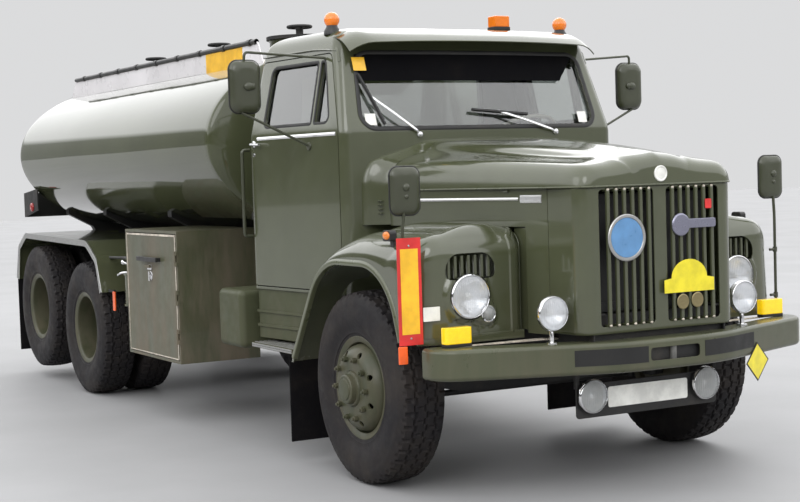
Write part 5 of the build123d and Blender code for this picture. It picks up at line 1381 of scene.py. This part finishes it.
def make_mirrors():
    shell, glass, border = mirror_head(0.674, 0.712, 1.135, 1.309, 1.491, 1.737, 0.045)
    knob = ball((0.712, 1.226, 1.632), 0.020, (0.7, 1.0, 1.0), 14) + ball((0.712, 1.226, 1.585), 0.012, (0.8, 1, 1), 12)
    post = tube(bent([(0.690, 1.246, 0.905), (0.690, 1.246, 1.40), (0.694, 1.236, 1.49), (0.700, 1.226, 1.62)], 0.06),
                0.0085, 12)
    for z in (0.925, 1.190):
        post = post + tube([(0.690, 1.246, z), (0.690, 1.205, z)], 0.008, 10)
        post = post + revolved([(-0.014, 0.013), (0.014, 0.013)], "z", 14, (0.690, 1.246, z))
    put("wing_mirror_shells", both(shell + knob), MIRROR_SHELL, "root", replaces=("wing_mirrors",),
        smooth=45)
    put("wing_mirror_glass", both(glass), MIRROR, "root")
    put("wing_mirror_posts", both(post), MIRROR_SHELL, "root")

    put("wing_mirror_borders", both(border), BLACK_PLASTIC, "root")

    shell, glass, border = mirror_head(-0.876, -0.817, 1.304, 1.500, 2.080, 2.390, 0.055)
    clamp = ball((-0.812, 1.395, 2.235), 0.030, (0.5, 1.0, 0.8), 16) + ball((-0.812, 1.370, 2.235), 0.020, (0.5, 1, 1), 14)
    low = on_side(cab_tree, -0.84, 1.880)
    high = on_side(cab_tree, -0.76, 2.392)
    arms = tube(bent([(low[0], low[1] - 0.004, low[2]), (-0.845, low[1] + 0.03, 1.897), (-0.850, 1.430, 2.085)], 0.03),
                0.008, 12)
    arms = arms + tube(bent([(-0.848, 1.405, 2.385), (-0.845, 1.402, 2.437), (-0.762, high[1] + 0.01, 2.400),
                             (-0.760, high[1] - 0.006, 2.388)], 0.03), 0.008, 12)
    pads = revolved([(-0.002, 0.024), (0.008, 0.022), (0.010, 0.0)], "y", 20, (low[0], low[1], low[2]))
    for side, flip in (("left", False), ("right", True)):
        def way(shape):
            return shape.mirrored() if flip else shape
        body = f"door_{side}"
        put(f"mirror_shell_{side}", way(shell + clamp), MIRROR_SHELL, body,
            replaces=(f"door_mirror_{side}",), smooth=45)
        put(f"mirror_pane_{side}", way(glass), MIRROR, body)
        put(f"mirror_border_{side}", way(border), BLACK_PLASTIC, body)
        put(f"mirror_arms_{side}", way(arms + pads), MIRROR_SHELL, body)


def make_trim():
    # Bright strips at the belt and on the bonnet sides
    strip = []
    for k in range(13):
        x = -1.45 + 0.9 * k / 12
        strip.append(on_side(cab_tree, x, 1.945, 0.001))
    belt = sweep(strip, [(-0.011, -0.003), (0.011, -0.003), (0.010, 0.002), (0.0, 0.006), (-0.010, 0.002)], up=(0, 1, 0))
    lock = on_side(cab_tree, -1.47, 1.905)
    pull = tube(bent([(-1.500, lock[1] - 0.004, 1.912), (-1.500, lock[1] + 0.030, 1.912),
                      (-1.375, lock[1] + 0.024, 1.906)], 0.022), 0.0085, 12)
    pull = pull + revolved([(-0.002, 0.024), (0.006, 0.022), (0.010, 0.012)], "y", 24, (-1.497, lock[1], 1.912))
    key = revolved([(-0.002, 0.013), (0.006, 0.012), (0.007, 0.0)], "y", 20, (-1.497, lock[1], 1.845))
    for side, flip in (("left", False), ("right", True)):
        def way(shape):
            return shape.mirrored() if flip else shape
        put(f"belt_strip_{side}", way(belt), TRIM, f"door_{side}")
        put(f"door_handle_{side}", way(pull + key), CHROME, f"door_{side}")
    grip = tube(bent([(-1.574, 1.070, 1.332), (-1.574, 1.122, 1.332), (-1.574, 1.122, 1.878), (-1.574, 1.070, 1.878)],
                     0.035), 0.0105, 12)
    put("grab_handles", both(grip), MIRROR_SHELL, "root")

    def side_y(x):
        return 0.742 - (x + 0.334) * (0.742 - 0.512) / (0.918 + 0.334)
    bar = []
    for x0, x1, tall in ((-0.30, -0.19, 0.014), (-0.17, 0.71, 0.0085), (0.725, 0.880, 0.022)):
        path = [(x0 + (x1 - x0) * k / 6, side_y(x0 + (x1 - x0) * k / 6), 1.548) for k in range(7)]
        bar.append(sweep(path, [(-tall, -0.003), (tall, -0.003), (tall * 0.9, 0.003), (0.0, 0.006),
                                (-tall * 0.9, 0.003)], up=(0, 1, 0)))
    put("bonnet_strips", both(total(bar)), TRIM, "root", smooth=30)
    latch = Shape()
    for x in (-0.10, 0.62):
        latch = latch + box(x - 0.022, x + 0.022, side_y(x) - 0.002, side_y(x) + 0.010, 1.585, 1.597)
    put("bonnet_latches", both(latch), CLEAN_PAINT, "root", bevel=0.002)

    # Drip rails over the doors
    rail = []
    for k in range(15):
        x = -0.66 - 0.90 * k / 14
        z = 2.440 + 0.022 * math.sin(math.pi * min(1.0, k / 5) / 2)
        rail.append(on_side(cab_tree, x, z, 0.002))
    rail = [on_side(cab_tree, -0.632, 2.37, 0.001)] + rail
    put("drip_rails", both(sweep(rail, [(-0.006, -0.004), (0.006, -0.004), (0.009, 0.008), (0.006, 0.010),
                                        (-0.002, 0.002)], up=(0, 1, 0.3))), CLEAN_PAINT, "root", smooth=50)

    # Wipers: bright arms with dark blades
    arms, blades = Shape(), Shape()
    # pivot, elbow, blade's two ends (all y, z on the screen)
    rows = (((-0.475, 1.928), (-0.751, 2.153), (-0.695, 1.990), (-0.806, 2.290)),
            ((0.500, 1.930), (0.080, 2.062), (0.290, 2.040), (-0.100, 2.072)))
    for pivot, elbow, low, high in rows:
        start = on_front(cab_tree, *pivot, 0.004)
        arm = [start, on_front(cab_tree, pivot[0] + (elbow[0] - pivot[0]) * 0.12, pivot[1] + (elbow[1] - pivot[1]) * 0.12,
                               0.030),
               on_front(cab_tree, pivot[0] + (elbow[0] - pivot[0]) * 0.6, pivot[1] + (elbow[1] - pivot[1]) * 0.6, 0.032),
               on_front(cab_tree, *elbow, 0.024)]
        arms = arms + sweep(bent(arm, 0.03), ring(0.0085, 8, 0.5), up=(1, 0, 0.3))
        arms = arms + ball(start, 0.020, (0.8, 1.0, 1.0), 16)
        blade = [on_front(cab_tree, low[0] + (high[0] - low[0]) * k / 8, low[1] + (high[1] - low[1]) * k / 8,
                          0.012 + 0.006 * math.sin(math.pi * k / 8)) for k in range(9)]
        blades = blades + sweep(blade, [(-0.007, -0.010), (0.007, -0.010), (0.010, 0.002), (0.005, 0.012),
                                        (-0.005, 0.012), (-0.010, 0.002)], up=(1, 0, 0.3))
    put("wiper_arms", arms, CHROME, "root")
    put("wiper_blades", blades, BLACK_PLASTIC, "root")
    # Dark band along the top of the screen, inside: a sun band, drawn down to z 2.25 so that it also paints the shade
    # under the visor
    band = []
    for z in (2.252, 2.300, 2.350, 2.412):
        row = []
        for k in range(25):
            y = -0.80 + (1.42 + (z - 2.252) * 0.9) * k / 24
            x = cab_tree.ray_cast(Vector((5, y, z)), Vector((-1, 0, 0)))[0].x
            row.append((x + 0.001, y, z))
        band.append(row)
    put("screen_band_and_shade", thickened(grid(band), 0.004), SUN_BAND_AND_SHADE, "root")
    # Blank labels on the screen: yellow at the top corner, white at the bottom corners
    for name, y, z, half, material in (("top", -0.790, 2.352, 0.040, SIGN_YELLOW), ("right", -0.775, 2.022, 0.034, WHITE),
                                       ("left", 0.735, 2.022, 0.034, WHITE)):
        rows = [[on_front(cab_tree, y + a, z + b, 0.022 if name == "top" else 0.004) for a in (-half, half)]
                for b in (-half, half)]
        put(f"screen_label_{name}", thickened(grid(rows), 0.002), material, "root")
    # Small lockers' vents on the scuttle sides
    louvres = Shape()
    for k in range(4):
        z = 1.47 + k * 0.024
        louvres = louvres + box(-0.405, -0.365, 0.775, 0.792 + 0.0 * k, z, z + 0.008)
    put("scuttle_louvres", both(louvres), CLEAN_PAINT, "root", bevel=0.002)


def make_plaques():
    # Blank plaques on the grille and bumper
    disc = revolved([(1.212, 0.0), (1.212, 0.116), (1.217, 0.120), (1.221, 0.115), (1.221, 0.104), (1.217, 0.101),
                     (1.217, 0.0)], "x", 64, (0, -0.234, 1.341))
    face = revolved([(1.2168, 0.0), (1.2168, 0.101), (1.2182, 0.100), (1.2190, 0.0)], "x", 64, (0, -0.234, 1.341))
    put("grille_disc", disc, ALUMINIUM, "root")
    put("grille_disc_face", face, PLAQUE_BLUE, "root")
    bar = rounded_plate(((0.155, 1.372, 0.010), (0.348, 1.372, 0.012), (0.348, 1.420, 0.012), (0.155, 1.420, 0.010)),
                        "x", 1.211, 1.220, step=0.004)
    knob = revolved([(1.211, 0.060), (1.217, 0.060), (1.222, 0.053), (1.224, 0.0)], "x", 40, (0, 0.118, 1.392))
    put("grille_bar", bar + knob, PEWTER, "root", bevel=0.003)
    table = [(0.002, 1.040), (0.332, 1.040), (0.332, 1.108)]
    for k in range(17):
        t = math.pi * k / 16
        table.append((0.167 + 0.118 * math.cos(t), 1.116 + 0.095 * math.sin(t)))
    table.append((0.002, 1.108))
    put("grille_plaque", prism(table, "x", 1.2125, 1.2155), LEMON, "root", bevel=0.001)
    coins = Shape()
    for y, z in ((0.122, 0.991), (0.218, 0.995)):
        coins = coins + revolved([(1.211, 0.0), (1.211, 0.038), (1.215, 0.040), (1.2175, 0.036), (1.2165, 0.030),
                                  (1.2165, 0.0)], "x", 40, (0, y, z))
    put("grille_medals", coins, BRASS, "root")
    tab = rounded_plate(((0.283, 1.470, 0.006), (0.325, 1.470, 0.006), (0.325, 1.520, 0.006), (0.283, 1.520, 0.006)),
                        "x", 1.2115, 1.2145, step=0.004)
    put("grille_tab", tab, SIGN_RED, "root")
    plate = rounded_plate(((-0.262, 0.458, 0.012), (0.262, 0.458, 0.012), (0.262, 0.566, 0.012), (-0.262, 0.566, 0.012)),
                          "x", 1.0605, 1.0635, step=0.004)
    put("front_plate", plate, WHITE, "root", bevel=0.001)

    def on_bumper(y0, y1, z0, z1, r):
        """A thin strip bent along the bumper's face."""
        rows = []
        for k in range(13):
            y = y0 + (y1 - y0) * k / 12
            rows.append([(bumper_x(y), y, z) for z in (z0, z1)])
        out = thickened(grid(rows), 0.002)
        return out

    path = corner_path(BUMPER_PLAN, closed=False, step=0.01)

    def bumper_x(y):
        for (x0, y0), (x1, y1) in zip(path, path[1:]):
            if y0 <= y <= y1 and y1 > y0:
                return x0 + (x1 - x0) * (y - y0) / (y1 - y0) + 0.0012
        return 1.2972
    strips = on_bumper(-0.564, -0.175, 0.708, 0.790, 0.0) + on_bumper(0.195, 0.640, 0.708, 0.790, 0.0)
    put("bumper_strips", strips, STRIP_BLACK, "root")
    edge = 0.148
    y, z = 0.667, 0.625
    diamond = [(y, z - edge * 0.72), (y + edge * 0.80, z), (y, z + edge * 0.72), (y - edge * 0.80, z)]
    small = [(y + (a - y) * 0.9, z + (b - z) * 0.9) for a, b in diamond]
    def leaning(points, out, thick):
        rows = [[(bumper_x(y) + out + t, y, z) for y, z in points] for t in (0.0, thick)]
        return grid(rows, close_rows=True, cap_start=True, cap_end=True)
    put("hazard_rim", leaning(diamond, 0.001, 0.003), BLACK_PLASTIC, "root")
    put("hazard_sign", leaning(small, 0.0042, 0.001), LEMON, "root")
    # Red and yellow blank board beside the right wing
    def slanted(points, out):
        """On the board's plane, which faces forward and a little out."""
        return [(0.755 + out, y, z) for y, z in points]
    y0, y1, z0, z1 = -1.318, -1.180, 0.838, 1.379
    board = [slanted([(y0, z0), (y1, z0), (y1, z1), (y0, z1)], k) for k in (0.0, 0.003)]
    inner = [slanted([(y0 + 0.018, z0 + 0.055), (y1 - 0.018, z0 + 0.055), (y1 - 0.018, z1 - 0.055),
                      (y0 + 0.018, z1 - 0.055)], k) for k in (0.0032, 0.0042)]
    put("side_board", grid(board, close_rows=True, cap_start=True, cap_end=True), SIGN_RED, "root")
    put("side_board_face", grid(inner, close_rows=True, cap_start=True, cap_end=True), SIGN_YELLOW, "root")
    bolts = Shape()
    for z in (0.872, 1.339):
        x, y, zz = slanted([(-1.249, z)], 0.004)[0]
        bolts = bolts + ball((x, y, zz), 0.006, (0.5, 1, 1), 10)
    put("side_board_bolts", bolts, ALUMINIUM, "root")
    hanger = box(0.742, 0.754, -1.30, -1.19, 1.05, 1.08) + box(0.690, 0.754, -1.222, -1.19, 1.05, 1.08)
    put("side_board_hanger", hanger, CHASSIS, "root", bevel=0.001)
    marker = box(0.752, 0.766, -1.325, -1.275, 0.745, 0.834)
    put("side_board_marker", marker, ORANGE, "root", bevel=0.004)
    white = rounded_plate(((-1.172, 0.950, 0.004), (-1.075, 0.950, 0.004), (-1.075, 1.022, 0.004), (-1.172, 1.022, 0.004)),
                          "x", 0.751, 0.754, step=0.004) + box(0.720, 0.751, -1.135, -1.110, 0.975, 0.995)
    put("white_reflector", white, WHITE, "root")


def make_seats():
    """Padded cushions, crowned, with sides that pull in and a piped edge."""
    def pad(x0, x1, y0, y1, z0, z1, axis, crown):
        count = 20
        centre = Vector(((x0 + x1) / 2, (y0 + y1) / 2, (z0 + z1) / 2))
        half = Vector(((x1 - x0) / 2, (y1 - y0) / 2, (z1 - z0) / 2))
        low, high = [], []
        thin = {"z": 2, "x": 0}[axis]
        wide = [k for k in range(3) if k != thin]
        for i in range(count + 1):
            row_low, row_high = [], []
            for j in range(count + 1):
                u, v = -1 + 2 * i / count, -1 + 2 * j / count
                edge = (1 - abs(u) ** 6) * (1 - abs(v) ** 6)
                bow = 1 - 0.018 * (1 - v * v) * abs(u) ** 4, 1 - 0.018 * (1 - u * u) * abs(v) ** 4
                lines = sum(math.exp(-((v - c) / 0.035) ** 2) for c in (-0.5, 0.0, 0.5))
                dimple = 0.10 * min(1.0, lines) * edge
                for row, way in ((row_low, -1), (row_high, 1)):
                    p = Vector(centre)
                    p[wide[0]] += half[wide[0]] * u * bow[0] * 0.985
                    p[wide[1]] += half[wide[1]] * v * bow[1] * 0.985
                    lift = (0.62 + 0.38 * edge ** 0.5) * (1 if way < 0 else 1 - dimple - crown * (u * u + v * v) / 2)
                    p[thin] += way * half[thin] * lift * 0.99
                    row.append(tuple(p))
            low.append(row_low)
            high.append(row_high)
        rim = []
        for i in range(count):
            rim.append((0, i))
        shape = grid(low) + grid(high)
        line_low = [low[0][j] for j in range(count + 1)] + [low[i][count] for i in range(1, count + 1)]
        line_low += [low[count][j] for j in range(count - 1, -1, -1)] + [low[i][0] for i in range(count - 1, 0, -1)]
        line_high = [high[0][j] for j in range(count + 1)] + [high[i][count] for i in range(1, count + 1)]
        line_high += [high[count][j] for j in range(count - 1, -1, -1)] + [high[i][0] for i in range(count - 1, 0, -1)]
        middle = []
        for a, b in zip(line_low, line_high):
            m = (Vector(a) + Vector(b)) / 2
            out = m - centre
            out[thin] = 0
            middle.append(tuple(m - out.normalized() * 0.004))
        shape = shape + grid([line_low, middle, line_high], close_rows=True)
        piping = tube([tuple(Vector(p)) for p in line_high], 0.0045, 8, closed=True)
        return shape, piping

    for name, y, half in (("driver", 0.470, 0.250), ("crew", -0.330, 0.400)):
        cushion, cord_1 = pad(-1.500, -1.010, y - half, y + half, 1.382, 1.499, "z", 0.25)
        back, cord_2 = pad(-1.538, -1.432, y - half, y + half, 1.502, 2.018, "x", 0.25)
        first = put(f"{name}_cushion", cushion, SEAT_CLOTH, "root",
                    replaces=("seats",) if name == "driver" else ())
        second = put(f"{name}_backrest", back, SEAT_CLOTH, "root")
        put(f"{name}_piping", cord_1 + cord_2, BLACK_PLASTIC, "root")
        stand = box(-1.470, -1.060, y - half + 0.06, y + half - 0.06, 1.052, 1.384)
        put(f"{name}_seat_base", stand, DASH, "root", bevel=0.012, segments=3)


def make_wheelwork():
    """Steering wheel and dashboard details."""
    axis = Vector((-0.538, 0.0, 0.843)).normalized()
    centre = Vector((-0.760, 0.480, 1.836)) + axis * 0.085
    flat = axis.orthogonal().normalized()
    other = axis.cross(flat)

    def at(r, t, h=0.0):
        return tuple(centre + flat * (r * math.cos(t)) + other * (r * math.sin(t)) + axis * h)
    rim = tube([at(0.235, 2 * math.pi * k / 72) for k in range(72)], 0.0135, 14, closed=True)
    spokes = Shape()
    for k in range(3):
        t = math.pi / 2 + 2 * math.pi * k / 3
        for side in (-1, 1):
            spokes = spokes + tube([at(0.03, t + side * 0.25, -0.002), at(0.12, t + side * 0.05, -0.012),
                                    at(0.232, t + side * 0.02, 0.0)], 0.0055, 10)
    boss = revolved([(-0.014, 0.0), (-0.014, 0.036), (0.008, 0.034), (0.014, 0.024), (0.015, 0.0)], "z", 40)
    turn = Matrix((flat, other, axis)).transposed().to_4x4()
    boss = boss.turned(Matrix.Translation(centre) @ turn)
    put("steering_rim", rim, IVORY, "steering_wheel", replaces=("steering_wheel",))
    put("steering_spokes", spokes, ALUMINIUM, "steering_wheel")
    column = tube([at(0.0, 0.0, -0.012), at(0.0, 0.0, -0.30)], 0.022, 20)
    put("steering_boss", boss + column, BLACK_PLASTIC, "steering_wheel")
    dials = Shape()
    for y, r in ((0.36, 0.045), (0.48, 0.060), (0.60, 0.045)):
        dials = dials + revolved([(-0.690, r), (-0.697, r), (-0.699, r * 0.94), (-0.692, r * 0.9), (-0.692, 0.0)], "x",
                                 32, (0, y, 1.815))
    put("dash_dials", dials, BLACK_PLASTIC, "root", smooth=30)
    lever = tube(bent([(-0.95, 0.02, 1.052), (-0.93, 0.02, 1.35), (-1.00, 0.03, 1.56)], 0.1), 0.009, 10)
    put("gear_lever", lever + ball((-1.003, 0.03, 1.575), 0.026, steps=18), BLACK_PLASTIC, "root")
    strip = rounded_plate(((-0.66, 1.75, 0.01), (0.20, 1.75, 0.01), (0.20, 1.80, 0.01), (-0.66, 1.80, 0.01)), "x",
                          -0.6885, -0.680, step=0.01)
    put("dash_strip", strip, ALUMINIUM, "root", bevel=0.002)


make_lamps()
make_mirrors()
make_trim()
make_plaques()
make_seats()
make_wheelwork()


# Fittings along the sides and on top of the tank
def make_service():
    face, bottom, top = 1.220, 0.456, 1.324
    front, rear = -2.556, -3.554
    trim = Shape()
    for x0, x1, z0, z1 in ((rear, front, top - 0.014, top), (front - 0.014, front, bottom, top),
                           (rear, rear + 0.008, bottom, top), (rear, front, bottom, bottom + 0.008)):
        trim = trim + box(x0, x1, face - 0.004, face + 0.003, z0, z1)
    bar = box(-3.238, -3.215, face - 0.004, face + 0.034, 1.130, 1.158)
    bar = bar + box(-2.885, -2.862, face - 0.004, face + 0.034, 1.130, 1.158)
    bar = bar + box(-3.250, -2.850, face + 0.026, face + 0.042, 1.128, 1.160)
    lock = revolved([(face - 0.002, 0.036), (face + 0.005, 0.035), (face + 0.008, 0.028), (face + 0.009, 0.0)], "y", 32,
                    (-3.060, 0.0, 1.022))
    lock = lock + box(-3.070, -3.050, face + 0.008, face + 0.018, 0.985, 1.055)
    hooks = box(-3.105, -3.020, face - 0.002, face + 0.012, 1.066, 1.104)
    for side, flip in (("left", False), ("right", True)):
        def way(shape):
            return shape.mirrored() if flip else shape
        body = f"cabinet_door_{side}"
        put(f"locker_edges_{side}", way(trim), WORN_AND_SHEEN_SHEET, body, bevel=0.001)
        put(f"locker_bar_{side}", way(bar), BLACK_PLASTIC, body, bevel=0.003)
        put(f"locker_lock_{side}", way(lock + hooks), CHROME, body, bevel=0.001)

    # Bright edge along the rear guards
    outline = ((-6.545, 0.860, 0), (-6.440, 1.150, 0.06), (-6.200, 1.270, 0.12), (-4.480, 1.240, 0.22),
               (-4.230, 1.100, 0.16), (-4.140, 0.850, 0))
    path = [(x, 1.2402, z) for x, z in corner_path(outline, closed=False, step=0.02)]
    lip = sweep(path, [(-0.044, -0.003), (-0.001, -0.003), (0.0015, -0.010), (0.0025, 0.0), (0.001, 0.0022),
                       (-0.044, 0.0008)], up=(0, 1, 0))
    put("guard_edges", both(lip), ALUMINIUM, "root", smooth=40)

    # Valve: chrome lever and stem, with a dark pull rod
    lever = tube([(-3.806, -1.079, 1.0515), (-3.962, -1.1105, 1.081)], 0.0125, 14)
    lever = lever + ball((-3.962, -1.1105, 1.081), 0.022, steps=18)
    lever = lever + revolved([(0.998, 0.0), (0.998, 0.030), (1.010, 0.034), (1.030, 0.034), (1.040, 0.022),
                              (1.064, 0.019), (1.066, 0.0)], "z", 32, (-3.830, -1.080, 0.0))
    lever = lever + tube(bent([(-3.856, -1.085, 1.005), (-3.900, -1.150, 1.005), (-3.960, -1.160, 0.985)], 0.03),
                         0.010, 12)
    put("valve_lever", lever, CHROME, "root")
    rod = tube(bent([(-3.812, -1.080, 1.050), (-3.840, -1.118, 1.120), (-4.330, -1.118, 1.106)], 0.04), 0.011, 12)
    put("valve_rod", rod + ball((-4.330, -1.118, 1.106), 0.017, steps=14), BLACK_PLASTIC, "root")
    neck = revolved([(0.985, 0.069), (0.985, 0.076), (0.998, 0.076), (0.998, 0.069)], "z", 40, (-3.830, -1.080, 0.0),
                    closed=True)
    neck = neck + revolved([(0.752, 0.069), (0.752, 0.078), (0.768, 0.078), (0.768, 0.069)], "z", 40,
                           (-3.830, -1.080, 0.0), closed=True)
    put("valve_collars", neck, CLEAN_PAINT, "root", smooth=30)
    reflector = rounded_plate(((-3.975, 0.712, 0.008), (-3.925, 0.712, 0.008), (-3.925, 0.860, 0.008),
                               (-3.975, 0.860, 0.008)), "y", 1.196, 1.206, step=0.004)
    stay = box(-3.965, -3.935, 1.188, 1.196, 0.720, 0.870) + box(-4.100, -3.935, 1.188, 1.196, 0.850, 0.870)
    put("side_reflectors", both(reflector), ORANGE, "root", bevel=0.002)
    put("side_reflector_stays", both(stay), CHASSIS, "root", bevel=0.001)

    # Coaming: dark rail with clips and a yellow stretch
    rail = tube([(-6.160, 0.724, 2.625), (-2.175, 0.724, 2.625)], 0.0185, 14)
    for k in range(9):
        x = -5.95 + k * 0.455
        rail = rail + tube([(x, 0.724, 2.625), (x + 0.05, 0.724, 2.625)], 0.0235, 14)
    put("coaming_rails", both(rail), BLACK_PLASTIC, "root")
    yellow = box(-3.080, -2.420, 0.7235, 0.7275, 2.462, 2.606)
    put("coaming_panels", both(yellow), SIGN_YELLOW, "root", bevel=0.001)

    # Rear lamp board: a red lamp on each side
    lamp = revolved([(1.088, 0.040), (1.098, 0.040), (1.106, 0.034), (1.110, 0.020), (1.111, 0.0)], "y", 32,
                    (-6.461, 0.0, 1.494))
    put("rear_side_lamps", both(lamp), RED, "root")

    # Bright ribs on the cab steps
    ribs = Shape()
    for k in range(5):
        y = 1.130 - k * 0.030
        ribs = ribs + box(-1.455, -0.875, y - 0.010, y + 0.004, 0.667, 0.672)
    for z in (0.643, 0.656):
        ribs = ribs + box(-1.455, -0.875, 1.148, 1.154, z, z + 0.010)
    put("step_ribs", both(ribs), ALUMINIUM, "root", bevel=0.001)


make_service()

SKY_LEVEL, SKY_EDGE = 1.85, 0.16


def set_stage():
    mesh = bpy.data.meshes.new("floor")
    size = 60.0
    mesh.from_pydata([(-size, -size, 0), (size, -size, 0), (size, size, 0), (-size, size, 0)], [], [(0, 1, 2, 3)])
    floor = bpy.data.objects.new("floor", mesh)
    bpy.context.scene.collection.objects.link(floor)
    n = Nodes("floor_grey")
    tint = n.noise(0.7, 6.0)
    n.link(n.mix(n.span(tint, 0.3, 0.7), (0.31, 0.31, 0.314), (0.345, 0.345, 0.35)), n.shader.inputs["Base Color"])
    n.set(Roughness=0.6)
    mesh.materials.append(n.material)

    world = bpy.data.worlds.new("sky")
    bpy.context.scene.world = world
    world.use_nodes = True
    tree = world.node_tree
    tree.nodes.clear()
    out = tree.nodes.new("ShaderNodeOutputWorld")
    back = tree.nodes.new("ShaderNodeBackground")
    split = tree.nodes.new("ShaderNodeSeparateXYZ")
    where = tree.nodes.new("ShaderNodeTexCoord")
    tree.links.new(where.outputs["Generated"], split.inputs[0])

    def span(source, low, high, to_low, to_high):
        node = tree.nodes.new("ShaderNodeMapRange")
        for key, value in (("From Min", low), ("From Max", high), ("To Min", to_low), ("To Max", to_high)):
            node.inputs[key].default_value = value
        tree.links.new(split.outputs[source], node.inputs["Value"])
        return node.outputs["Result"]

    # A bright overcast sky over a pale band all round, which is darker on the truck's right side
    overhead = span("Z", SKY_EDGE, SKY_EDGE + 0.05, 0.0, 1.0)
    band = span("Y", -0.50, -0.12, 0.08, 0.55)
    mix = tree.nodes.new("ShaderNodeMix")
    mix.data_type = "FLOAT"
    tree.links.new(overhead, mix.inputs[0])
    tree.links.new(band, mix.inputs[2])
    mix.inputs[3].default_value = SKY_LEVEL
    seen = tree.nodes.new("ShaderNodeMix")
    seen.data_type = "FLOAT"
    rays = tree.nodes.new("ShaderNodeLightPath")
    both_rays = tree.nodes.new("ShaderNodeMath")
    both_rays.operation = "MAXIMUM"
    tree.links.new(rays.outputs["Is Camera Ray"], both_rays.inputs[0])
    tree.links.new(rays.outputs["Is Transmission Ray"], both_rays.inputs[1])
    tree.links.new(both_rays.outputs[0], seen.inputs[0])
    tree.links.new(mix.outputs[0], seen.inputs[2])
    seen.inputs[3].default_value = 0.72
    tree.links.new(seen.outputs[0], back.inputs[1])
    back.inputs[0].default_value = (0.985, 0.99, 1.0, 1.0)
    tree.links.new(back.outputs[0], out.inputs[0])

    # name, place, size, power, aim
    lamps = (
        ("key", (14.0, -10.0, 11.0), 9.0, 560.0, (0.5, 0.0, 1.2)),
        ("fill", (2.0, -14.0, 8.0), 8.0, 200.0, (-1.0, 0.0, 1.2)),
        ("back", (-10.0, 8.0, 10.0), 8.0, 220.0, (-1.0, 0.0, 1.5)),
    )
    for name, place, size, power, aim in lamps:
        data = bpy.data.lights.new(name, "AREA")
        data.shape = "DISK"
        data.size = size
        data.energy = power
        lamp = bpy.data.objects.new(name, data)
        bpy.context.scene.collection.objects.link(lamp)
        lamp.location = place
        lamp.rotation_euler = (Vector(aim) - Vector(place)).to_track_quat("-Z", "Y").to_euler()


def set_camera():
    """The photograph's view: place in metres from the front axle, angles in degrees."""
    place = Vector((7.507 + AXLE_X, -5.066, 1.714))
    yaw, pitch, roll = math.radians(150.83), math.radians(-2.946), math.radians(-1.835)
    focal_pixels, image_width = 1548.6, 800
    ahead = Vector((math.cos(yaw) * math.cos(pitch), math.sin(yaw) * math.cos(pitch), math.sin(pitch)))
    level = ahead.cross(Vector((0, 0, 1))).normalized()
    above = level.cross(ahead)
    right = level * math.cos(roll) + above * math.sin(roll)
    up = above * math.cos(roll) - level * math.sin(roll)
    data = bpy.data.cameras.new("camera")
    data.sensor_width = 36.0
    data.lens = 36.0 * focal_pixels / image_width
    data.clip_end = 200.0
    camera = bpy.data.objects.new("camera", data)
    bpy.context.scene.collection.objects.link(camera)
    turn = Matrix((right, up, -ahead)).transposed()
    camera.matrix_world = Matrix.Translation(place) @ turn.to_4x4()
    bpy.context.scene.camera = camera
    bpy.context.scene.view_settings.view_transform = "Standard"


set_stage()
set_camera()
